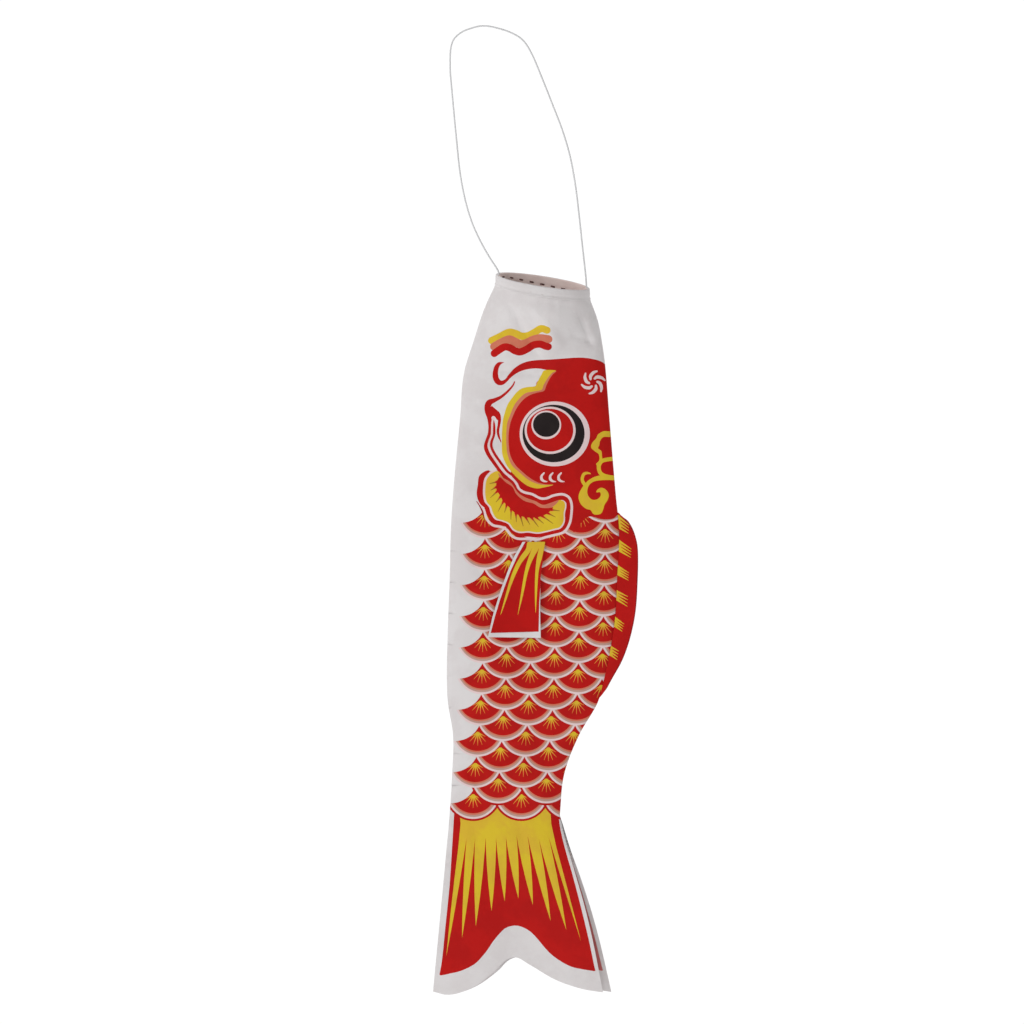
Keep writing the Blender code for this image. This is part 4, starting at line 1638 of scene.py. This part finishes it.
# From (s, z) to (s, z), width, height and side (-1 left, 1 right, 0 both), in millimetres
CREASES = (
    (7, -192, 9, -262, 10.0, 2.4, -1),
    (30, -196, 36, -254, 9.0, -1.3, -1),
    (-30, -206, 6, -258, 3.2, -1.1, 0),
    (-12, -204, 22, -250, 4.0, 1.0, 0),
    (30, -212, 44, -246, 3.0, -0.9, -1),
    (22, -232, 47, -240, 2.8, -0.8, 0),
    (-38, -236, -10, -250, 2.8, 0.8, -1),
    (-40, -262, 8, -266, 2.6, -0.9, 0),
    (-46, -286, -22, -280, 2.8, 0.8, -1),
    (-50, -318, -14, -327, 3.6, 0.9, 0),
    (-52, -352, -26, -344, 3.2, -0.7, 0),
    (-52, -400, -20, -446, 4.0, -0.9, 0),
    (-54, -430, -28, -424, 3.0, 0.7, -1),
    (-44, -511, 34, -517, 2.2, -1.1, 0),
    (-40, -541, 20, -548, 2.6, 0.8, 0),
    (-38, -470, -8, -500, 3.6, 0.8, 0),
    (-44, -560, -20, -586, 3.0, 0.8, -1),
    (-30, -600, -24, -690, 4.0, 1.0, 0),
    (10, -600, 20, -680, 4.5, -1.0, 0),
    (28, -610, 40, -700, 3.6, 0.8, -1),
)


@dataclass
class HangingCord:
    """One springy line from hole to hole, with a stopper knot tied in each end."""

    diameter: float = 0.0013
    knot_width: float = 0.0038
    knot_length: float = 0.0046
    joints: int = 260
    belly_hole: tuple[float, float, float] = (0.01065, 0.0, -0.1894)
    back_hole: tuple[float, float, float] = (0.07735, 0.0, -0.1996)
    downwards: tuple[float, float, float] = (-0.151, 0.0, -0.98853)
    finish: Filament = Filament("cord_nylon_finish", (222, 222, 223), (204, 204, 207), 0.4, 260.0, 0.08)

    def line(self) -> np.ndarray:
        """The cord's middle line.

        Returns:
            Evenly spread points in metres.
        """
        fine = catmull(CORD_ROUTE, 0.6)
        run = distance_run(fine)
        wanted = np.linspace(0, run[-1], self.joints)
        x, z = (np.interp(wanted, run, fine[:, k]) for k in range(2))
        return np.column_stack([x, 0 * x, z]) * MM

    def knot(self, name: str, node: str) -> bpy.types.Object:
        """An overhand knot where a CAD knot is.

        Args:
            name: the piece's name.
            node: the CAD node that it stands for.

        Returns:
            The knot.
        """
        low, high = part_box(node)
        turn = np.linspace(0, 2 * math.pi, 90)
        radius = self.diameter / 2
        reach = (self.knot_width / 2 - radius) / 3
        line = np.column_stack(
            [
                (np.sin(turn) + 2 * np.sin(2 * turn)) * reach,
                (np.cos(turn) - 2 * np.cos(2 * turn)) * reach,
                -np.sin(3 * turn) * (self.knot_length / 2 - radius),
            ]
        ) + np.array((low + high) / 2)
        made = tube_object(name, line[:-2], radius * 0.96, 10, self.finish.material())
        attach(made, "mouth")
        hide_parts(node)
        LOG.info("%s: overhand knot of %d faces", name, len(made.data.polygons))
        return made

    def build(self) -> None:
        """Makes the cord and its knots."""
        line = self.line()
        cord = tube_object("springy_cord", line, self.diameter / 2, 12, self.finish.material())
        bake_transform(cord)
        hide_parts("hanging_cord")
        knots = [self.knot("knot_at_belly", "cord_knot_belly"), self.knot("knot_at_back", "cord_knot_back")]


# The cord's middle line (x, z) from the belly knot to the back knot (mm)
CORD_ROUTE = (
    (10.65, -197.87), (10.65, -193.6), (10.65, -188.8), (9.2, -185.2), (5, -178.8), (0, -170.5), (-5, -161),
    (-10, -149.5), (-15, -133), (-19, -112), (-22, -84), (-25, -52), (-26.6, -31), (-25.3, -13.5),
    (-18.5, -5.2), (-7.5, -0.9), (0, 0), (9, -1.5), (20, -5.2), (29, -11), (36, -22), (44, -41), (51.5, -60),
    (59, -79.5), (65, -100), (69, -122), (71.8, -145), (74.3, -168), (76.7, -189.5), (77.35, -199),
    (77.35, -203.8), (77.35, -208.2),
)


@dataclass
class MouthRim:
    """The casing turned over round the hoop, its stitches, and the hoop itself."""

    shape: BodyShape
    wall: float = 0.00028
    round_steps: int = 220
    stitch_count: int = 22
    stitch_length: float = 2.8
    stitch_width: float = 0.84
    stitch_sag: float = 0.30
    inner_depth: float = 2.0
    cord_bulge: tuple[float, float] = (2.2, 0.11)
    lap_bulge: tuple[float, float, float] = (1.1, 0.75, 1.45)
    fold_height: float = 0.9
    mean_radius: float = 30.0
    thread: Filament = Filament("stitch_thread_finish", (108, 66, 62), (72, 44, 42), 0.6, 900.0)
    pale_thread: Filament = Filament("pale_thread_finish", (226, 220, 218), (196, 188, 186), 0.6, 900.0)

    def point(self, angle: np.ndarray, inset: np.ndarray, drop: np.ndarray) -> np.ndarray:
        """Points of the rim.

        Args:
            angle: angle round the mouth, 0 at the back.
            inset: distance inwards from the cloth's outside, in millimetres.
            drop: distance below the rim, in millimetres.

        Returns:
            Points in millimetres.
        """
        shape = self.shape
        x = (shape.mouth_width / 2 - inset) * np.cos(angle)
        y = (shape.mouth_depth / 2 - inset) * np.sin(angle)
        z = shape.rim_z + shape.mouth_slope * x + shape.mouth_tip * y - drop
        return np.stack([shape.mouth_x + x, y, z], axis=-1)

    def inner_inset(self, angle: np.ndarray) -> np.ndarray:
        """Inset of the casing's inner layer, which bulges over the cord's ends and over the hoop's lap.

        Args:
            angle: angles round the mouth.

        Returns:
            The insets in millimetres.
        """
        made = np.full_like(angle, self.inner_depth)
        for rise, spread, centre in ((*self.cord_bulge, 0.0), (*self.cord_bulge, math.pi), self.lap_bulge):
            off = (angle - centre + math.pi) % (2 * math.pi) - math.pi
            made = made + rise * np.exp(-((off / spread) ** 2))
        return made

    def stitch_drop(self, angle: np.ndarray) -> np.ndarray:
        """How far below the rim the stitching runs: it wanders upwards towards the belly."""
        return np.maximum(6.2 + 2.2 * np.cos(angle) - 1.8 * np.cos(angle) ** 2, 3.2)

    def casing(self) -> bpy.types.Object:
        """Makes the folded casing.

        Returns:
            The casing.
        """
        angle = np.linspace(0, 2 * math.pi, self.round_steps, endpoint=False)
        inner = self.inner_inset(angle)
        flat_ring = np.ones_like(angle)
        outside = len(CASING_OUTSIDE) + 4
        grid = [self.point(angle, inset * flat_ring, drop * flat_ring) for inset, drop in CASING_OUTSIDE]
        for turn in np.pi * np.linspace(0.12, 0.88, 7):
            inset = inner * (1 - math.cos(turn)) / 2
            grid.append(self.point(angle, inset, self.fold_height * (1 - math.sin(turn)) * flat_ring))
        for shrink, drop in CASING_INSIDE:
            crinkle = 0.1 * np.sin(angle * 23) * (drop > 5)
            grid.append(self.point(angle, inner - shrink + crinkle, drop * flat_ring))
        grid = np.array(grid) * MM
        normals = ring_normals(grid)
        triangles = grid_triangles(len(grid), self.round_steps, True)
        around = angle * self.mean_radius * MM
        down = distance_run(grid[:, 0])
        flat = np.stack(np.meshgrid(around, down), axis=-1).reshape(-1, 2)
        strip = 2 * self.round_steps
        inks = [Ink.CLOTH] * (outside * strip) + [Ink.LINING] * (len(triangles) - outside * strip)
        made = cloth_object(
            "hem_casing", grid.reshape(-1, 3), normals.reshape(-1, 3), triangles, inks, flat, self.wall, Face.PRINTED
        )
        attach(made, "mouth")
        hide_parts("mouth_hem")
        return made

    def stitch(self) -> bpy.types.Object:
        """Models one stitch: a rod with bevelled, drawn-in ends, lying along X at the origin.

        Returns:
            The stitch.
        """
        bpy.ops.object.select_all(action="DESELECT")
        radius, depth = self.stitch_width / 2 * MM, self.stitch_length * MM
        bpy.ops.mesh.primitive_cylinder_add(vertices=10, radius=radius, depth=depth)
        made = bpy.context.active_object
        bpy.ops.object.mode_set(mode="EDIT")
        bpy.ops.mesh.select_all(action="SELECT")
        bpy.ops.transform.rotate(value=math.pi / 2, orient_axis="Y", center_override=(0, 0, 0))
        bpy.ops.mesh.select_all(action="DESELECT")
        bpy.ops.object.mode_set(mode="OBJECT")
        for face in made.data.polygons:
            face.select = abs(face.normal.x) > 0.9
        bpy.ops.object.mode_set(mode="EDIT")
        bpy.ops.mesh.select_mode(type="FACE")
        bpy.ops.mesh.inset(thickness=self.stitch_width * 0.12 * MM, depth=0.12 * MM)
        bpy.ops.mesh.inset(thickness=self.stitch_width * 0.16 * MM, depth=0.08 * MM)
        bpy.ops.mesh.select_all(action="SELECT")
        bpy.ops.mesh.subdivide(number_cuts=1)
        bpy.ops.uv.cube_project(cube_size=1.0)
        bpy.ops.object.mode_set(mode="OBJECT")
        made.data.uv_layers[0].name = "flat"
        for vertex in made.data.vertices:
            vertex.co.z -= self.stitch_sag * MM * (vertex.co.x / (depth / 2)) ** 4
        return made

    def stitches(self, name: str, inset: Callable, finish: Filament, swell: float, facing: int) -> bpy.types.Object:
        """Copies the stitch round the casing.

        Args:
            name: the piece's name.
            inset: gives the stitch line's inset at an angle.
            finish: the thread.
            swell: the stitches' size against the modelled one.
            facing: 1 where they show outside the mouth and -1 where they show inside.

        Returns:
            All the stitches as one piece.
        """
        pattern = self.stitch()
        angle = np.linspace(0, 2 * math.pi, 721)
        line = self.point(angle, inset(angle), self.stitch_drop(angle))
        run = distance_run(line)
        built = bmesh.new()
        for number in range(self.stitch_count):
            turn = np.interp((number + 0.5) * run[-1] / self.stitch_count, run, angle)
            near = np.array([turn, turn + 0.01])
            here, ahead = self.point(near, inset(near), self.stitch_drop(near))
            along = Vector(ahead - here).normalized()
            across, down = math.cos(turn) * self.shape.mouth_depth, math.sin(turn) * self.shape.mouth_width
            up = Vector((across, down, 0)).normalized() * facing
            third = up.cross(along).normalized()
            up = along.cross(third).normalized()
            copy = bmesh.new()
            copy.from_mesh(pattern.data)
            for vertex in copy.verts:
                x, y, z = vertex.co * swell
                vertex.co = Vector(here) * MM + along * x + third * y + up * z
            piece = bpy.data.meshes.new("stitch_copy")
            copy.to_mesh(piece)
            copy.free()
            built.from_mesh(piece)
            bpy.data.meshes.remove(piece)
        bmesh.ops.recalc_face_normals(built, faces=built.faces)
        mesh = bpy.data.meshes.new(name)
        built.to_mesh(mesh)
        built.free()
        bpy.data.objects.remove(pattern)
        mesh.materials.append(finish.material())
        mesh.shade_smooth()
        made = add_object(name, mesh)
        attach(made, "mouth")
        LOG.info("%s: %d stitches", name, self.stitch_count)
        return made

    def build(self) -> None:
        """Makes the casing and its stitches, and dresses the hoop."""
        self.casing()
        dark = self.stitches("hem_stitches_inside", lambda a: self.inner_inset(a) + 0.02, self.thread, 1.0, -1)
        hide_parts("hem_thread")
        self.stitches("hem_stitches_outside", lambda a: 0.12 + 0 * a, self.pale_thread, 0.7, 1)
        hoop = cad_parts["mouth_hoop"]
        hoop.data.materials.clear()
        hoop.data.materials.append(HoopPlastic().material())
        LOG.info("mouth_hoop: CAD mesh, dressed in plastic")


# The casing's rows of points: inset from the outside and drop below the rim, from its foot up (mm)
CASING_OUTSIDE = (
    (-0.2, 8.15), (-0.5, 8.1), (-0.55, 7.7), (-0.3, 7.0), (0.1, 6.2), (-0.05, 5.4), (-0.15, 4.6), (-0.1, 3.4),
    (0.0, 2.0), (0.04, 1.2),
)

# The inner layer's rows, down from the fold: how far each draws back towards the hoop, and its drop (mm)
CASING_INSIDE = ((0.0, 1.2), (0.0, 2.4), (0.0, 4.0), (0.15, 5.6), (0.4, 6.3), (0.25, 7.0), (0.1, 7.9))

# Drop below the rim, and how far the dorsal fin stands out from the back edge (mm)
DORSAL_OUTLINE = (
    (183, 1.4), (190, 7), (204, 12.4), (216, 14.2), (242, 14.8), (265, 14), (295, 10), (312, 4.5), (324, 1.4),
)

# The red print reaches past the fin's whole outline
DORSAL_RED = ((70, -360), (130, -360), (130, -525), (70, -525))

# Each comb's root height at its upper and lower end, and the tips of its first and last teeth (mm)
DORSAL_COMBS = (
    (-372.6, -383.6, (110.0, -380.5), (109.4, -386.8)),
    (-391.3, -401.0, (111.6, -398.8), (111.3, -405.3)),
    (-410.7, -418.7, (109.8, -417.0), (109.4, -422.6)),
    (-429.8, -438.0, (109.1, -435.0), (108.5, -442.4)),
    (-449.8, -458.2, (106.1, -456.0), (104.6, -461.5)),
    (-471.9, -480.2, (102.1, -476.7), (100.8, -483.2)),
)

PECTORAL_OUTLINE = (
    (2.2, -465.8), (42.5, -466.4), (42.1, -452), (42, -440), (42.4, -420), (44.4, -405), (45.8, -393.2),
    (28.7, -393.2), (22.6, -403.7), (17.5, -415.1), (13.2, -426.5), (9.5, -437.9), (5.8, -450.1),
)
PECTORAL_RED = (
    (31.3, -392.2), (24.9, -403.7), (19.6, -415.1), (15.3, -426.5), (11.3, -437.9), (7.6, -450.1),
    (4.3, -462.6), (40.9, -461.6), (41.4, -440), (42.4, -425), (44.4, -409.1), (46.6, -394.9), (46.9, -392.2),
)
PECTORAL_YELLOW = (
    (33.6, -392.7), (31.2, -398.6), (27.1, -404.2), (23, -411.6), (19, -422.1), (15.7, -433.5), (12.5, -445.7),
    (11.8, -449), (13.3, -445.7), (16.5, -436.8), (19.8, -427), (23.8, -417.3), (27.5, -409.9), (31.2, -405.1),
    (34.4, -401), (36, -397.9), (33.2, -405.1), (31.2, -411.6), (29.5, -419.7), (27.9, -429.5), (26.3, -440),
    (25, -449), (26.1, -444.9), (28.1, -437.6), (30.1, -428.6), (32.1, -418.9), (34.6, -410.8), (37.7, -404.2),
    (40.1, -400.2), (41.1, -397.9), (39.4, -405.9), (38.5, -414), (38, -425.4), (38.1, -437.6), (38.6, -447.3),
    (39.1, -441.6), (39.8, -429.5), (40.7, -417.3), (41.9, -410.8), (43.5, -405.1), (45.5, -396.1),
    (46, -392.7),
)


@dataclass
class Fins:
    """The doubled dorsal fin in the back seam and the two loose pectoral fins."""

    shape: BodyShape
    dorsal_wall: float = 0.0011
    pectoral_wall: float = 0.0003
    hinge_top: tuple[float, float, float] = (0.1019, 0.0, -0.371)
    hinge_foot: tuple[float, float, float] = (0.0879, 0.0, -0.512)
    dorsal_pitch: float = 2.0
    dorsal_levels: int = 72
    end_taper: float = 7.0
    comb_teeth: int = 4
    pectoral_pitch: float = 2.4
    pectoral_top: float = -393.2
    pectoral_drop: float = 73.0
    pectoral_hinge: tuple[float, float] = (0.037, -0.393)
    edge_parts: int = 8
    probe: float = 0.3

    def fill(self, outline: np.ndarray, pitch: float) -> np.ndarray:
        """Staggered points inside an outline.

        Args:
            outline: the outline.
            pitch: how far apart the points are.

        Returns:
            The points.
        """
        low, high = outline.min(0), outline.max(0)
        made = [
            (x + 0.5 * pitch * (row % 2), z)
            for row, z in enumerate(np.arange(low[1] + pitch / 2, high[1], pitch))
            for x in np.arange(low[0] + pitch / 2, high[0], pitch)
        ]
        made = np.array(made)
        return made[inside(made, outline)]

    def dorsal_lift(self, flat: np.ndarray) -> np.ndarray:
        """Points of the dorsal fin's middle, with a slow wave along its free edge.

        Args:
            flat: (x, z) places.

        Returns:
            Points in millimetres.
        """
        root = self.shape.section(flat[:, 1])[1]
        out = np.clip(flat[:, 0] - root, 0, 20)
        y = 0.006 * out**2 * np.sin(flat[:, 1] / 13.0) + 0.02 * out * np.sin(flat[:, 1] / 29.0 + 1.0)
        return np.column_stack([flat[:, 0], y, flat[:, 1]])

    def flat_normals(self, lift: Callable, flat: np.ndarray, side: int) -> np.ndarray:
        """Unit normals of a lifted flat piece, towards one side.

        Args:
            lift: gives points for places.
            flat: (x, z) places.
            side: -1 for normals towards the left side and 1 for the right.

        Returns:
            The normals.
        """
        across = lift(flat + (self.probe, 0.0)) - lift(flat - (self.probe, 0.0))
        down = lift(flat + (0.0, self.probe)) - lift(flat - (0.0, self.probe))
        return unit(np.cross(across, down) * -side)

    def declare(self, node: str, flat: FlatCloth) -> None:
        """Hides the CAD node that a fin stands for; the fin's flat area is worked out but not kept.

        Args:
            node: the CAD node that it stands for.
            flat: the cloth that it was cut from.
        """
        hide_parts(node)
        flat.area * MM * MM

    def dorsal(self) -> None:
        """Makes the dorsal fin."""
        drops, widths = np.array(DORSAL_OUTLINE).T
        heights = self.shape.level(np.linspace(drops[0], drops[-1], self.dorsal_levels))
        root = self.shape.section(heights)[1]
        width = hermite(self.shape.loop_height + drops, widths, -heights)
        end = np.minimum(heights[0] + 1.0 - heights, heights - heights[-1]) / self.end_taper
        end = np.clip(end, 0, 1) ** 0.6
        outer = np.column_stack([root + (0.6 + width) * end, heights])
        outline = np.vstack([np.column_stack([root - 0.2, heights]), outer[::-1]])
        art = Artwork()
        art.shape(DORSAL_RED, Ink.RED, smooth=False)
        # A darker red line along the fin's free edge: painted shade where the cloth turns away at its edge
        art.stroke(outer[2:-2:6], 1.5, Ink.DARK_RED)
        for high, low, first, last in DORSAL_COMBS:
            base = float(self.shape.section(np.array([(high + low) / 2]))[1][0])
            strip = ((base - 3, high + 1), (base + 0.6, high - 0.6), (base + 1.8, low + 1.0), (base - 3, low))
            art.shape(strip, Ink.YELLOW, smooth=False)
            for share in np.linspace(0, 1, self.comb_teeth):
                start = (base - 0.5, high + (low - high) * (0.12 + 0.72 * share))
                tip = tuple(a + (b - a) * share for a, b in zip(first, last))
                middle = tuple(a + (b - a) * 0.5 for a, b in zip(start, tip))
                art.stroke([start, middle, tip], (1.9, 1.15, 0.3), Ink.YELLOW)
        flat = print_cloth(outline, self.fill(outline, self.dorsal_pitch), art.patches)
        normals = self.flat_normals(self.dorsal_lift, flat.points, -1)
        points = self.dorsal_lift(flat.points) * MM + normals * self.dorsal_wall / 2
        places, wall = flat.points * MM, self.dorsal_wall
        fin = cloth_object(
            "dorsal_fin_cloth", points, normals, flat.triangles, flat.inks, places, wall, Face.PRINTED
        )
        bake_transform(fin)
        self.declare("dorsal_fin", flat)

    def pectoral(self, name: str, side: int, node: str) -> None:
        """Makes one pectoral fin.

        Args:
            name: the piece's name.
            side: -1 for the left side and 1 for the right one.
            node: the CAD node that it stands for.
        """
        low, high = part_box(node)
        plane = float(high.y if side < 0 else low.y) / MM

        def lift(flat: np.ndarray) -> np.ndarray:
            """Points of the fin, which is close at its sewn edge and hangs in soft waves below.

            Args:
                flat: (x, z) places.

            Returns:
                Points in millimetres.
            """
            fall = np.clip((self.pectoral_top - flat[:, 1]) / self.pectoral_drop, 0, 1)
            wave = 0.9 * fall * np.sin(flat[:, 0] / 7.5 + 0.8) + 1.1 * fall**2 * np.sin(flat[:, 1] / 19.0)
            corner = 2.4 * fall**3 * smoothstep((16 - flat[:, 0]) / 16)
            away = 0.25 + 1.6 * fall + 0.5 * wave + corner
            return np.column_stack([flat[:, 0], plane + side * away, flat[:, 1]])

        corners = np.array(PECTORAL_OUTLINE)
        shares = np.arange(self.edge_parts)[:, None] / self.edge_parts
        outline = np.vstack([a + (b - a) * shares for a, b in zip(corners, np.roll(corners, -1, axis=0))])
        art = Artwork()
        art.shape(PECTORAL_RED, Ink.RED, smooth=False)
        art.shape(PECTORAL_YELLOW, Ink.YELLOW, step=1.5)
        flat = print_cloth(outline, self.fill(outline, self.pectoral_pitch), art.patches)
        normals = self.flat_normals(lift, flat.points, side)
        triangles = flat.triangles if side < 0 else flat.triangles[:, ::-1]
        points = lift(flat.points) * MM
        fin = cloth_object(name, points, normals, triangles, flat.inks, flat.points * MM, self.pectoral_wall)
        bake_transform(fin)
        self.declare(node, flat)

    def build(self) -> None:
        """Makes all three fins."""
        self.dorsal()
        self.pectoral("pectoral_fin_cloth_left", -1, "pectoral_fin_left")
        self.pectoral("pectoral_fin_cloth_right", 1, "pectoral_fin_right")


# Each light's name, place and side (m), and power (W)
LIGHTS = (
    ("key", (-1.9, -1.7, 0.55), 0.9, 25.0),
    ("fill", (1.6, -2.2, -0.5), 1.8, 4.0),
    ("low", (0.0, -1.0, -0.86), 0.5, 1.6),
)


@dataclass
class Studio:
    """The camera, a pale floor and soft lights. None of it is part of the streamer."""

    target: tuple[float, float, float] = (0.0206, 0.0, -0.3705)
    field_width: float = 0.7806
    lens: float = 400.0
    sensor: float = 36.0
    far_clip: float = 60.0
    floor_z: float = -4.0
    floor_size: float = 80.0
    air_front: float = 0.30
    air_back: float = 1.04

    def camera(self) -> None:
        """Makes the camera, level with the middle of the fish and square on to its left side."""
        data = bpy.data.cameras.new("camera")
        data.lens, data.sensor_width = self.lens, self.sensor
        distance = self.field_width * self.lens / self.sensor
        data.clip_end = self.far_clip
        made = add_object("camera", data)
        made.location = Vector(self.target) - Vector((0, distance, 0))
        made.rotation_euler = (math.pi / 2, 0, 0)
        bpy.context.scene.camera = made

    def light(self, name: str, place: tuple[float, float, float], size: float, power: float) -> None:
        """Hangs a soft square light that faces the fish.

        Args:
            name: its name.
            place: where it hangs.
            size: its side.
            power: its power in watts.
        """
        data = bpy.data.lights.new(name, "AREA")
        data.size, data.energy = size, power
        made = add_object(name, data)
        made.location = place
        made.rotation_euler = (Vector(self.target) - Vector(place)).to_track_quat("-Z", "Y").to_euler()

    def build(self) -> None:
        """Makes the floor, the lights and the pale surroundings."""
        bpy.ops.object.select_all(action="DESELECT")
        bpy.ops.mesh.primitive_plane_add(size=self.floor_size, location=(0, 0, self.floor_z))
        floor = bpy.context.active_object
        floor.name = "studio_floor"
        floor.data.materials.append(PalePaper().material())
        self.air()
        for name, place, size, power in LIGHTS:
            self.light(name, place, size, power)
        bpy.context.scene.view_settings.view_transform = "Standard"

    def air(self) -> None:
        """Fills the studio with soft light: white behind the fish, and softer from the camera's side."""
        world = bpy.data.worlds.new("studio_air")
        bpy.context.scene.world = world
        world.use_nodes = True
        tree = world.node_tree
        background = tree.nodes["Background"]
        background.inputs["Color"].default_value = WHITE
        towards = tree.nodes.new("ShaderNodeTexCoord")
        parts = tree.nodes.new("ShaderNodeSeparateXYZ")
        spread = tree.nodes.new("ShaderNodeMapRange")
        spread.interpolation_type = "SMOOTHSTEP"
        span = {"From Min": -0.55, "From Max": 0.75, "To Min": self.air_front, "To Max": self.air_back}
        for key, value in span.items():
            spread.inputs[key].default_value = value
        tree.links.new(towards.outputs["Generated"], parts.inputs[0])
        tree.links.new(parts.outputs["Y"], spread.inputs["Value"])
        tree.links.new(spread.outputs[0], background.inputs["Strength"])


def main() -> None:
    """Builds the studio and then the streamer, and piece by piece."""
    logging.basicConfig(level=logging.INFO, format="%(name)s: %(message)s")
    shape = BodyShape()
    studio = Studio()
    studio.camera()
    HangingCord().build()
    MouthRim(shape).build()
    BodyCloth(shape).build()
    Fins(shape).build()
    studio.build()
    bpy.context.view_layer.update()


if __name__ == "__main__":
    main()
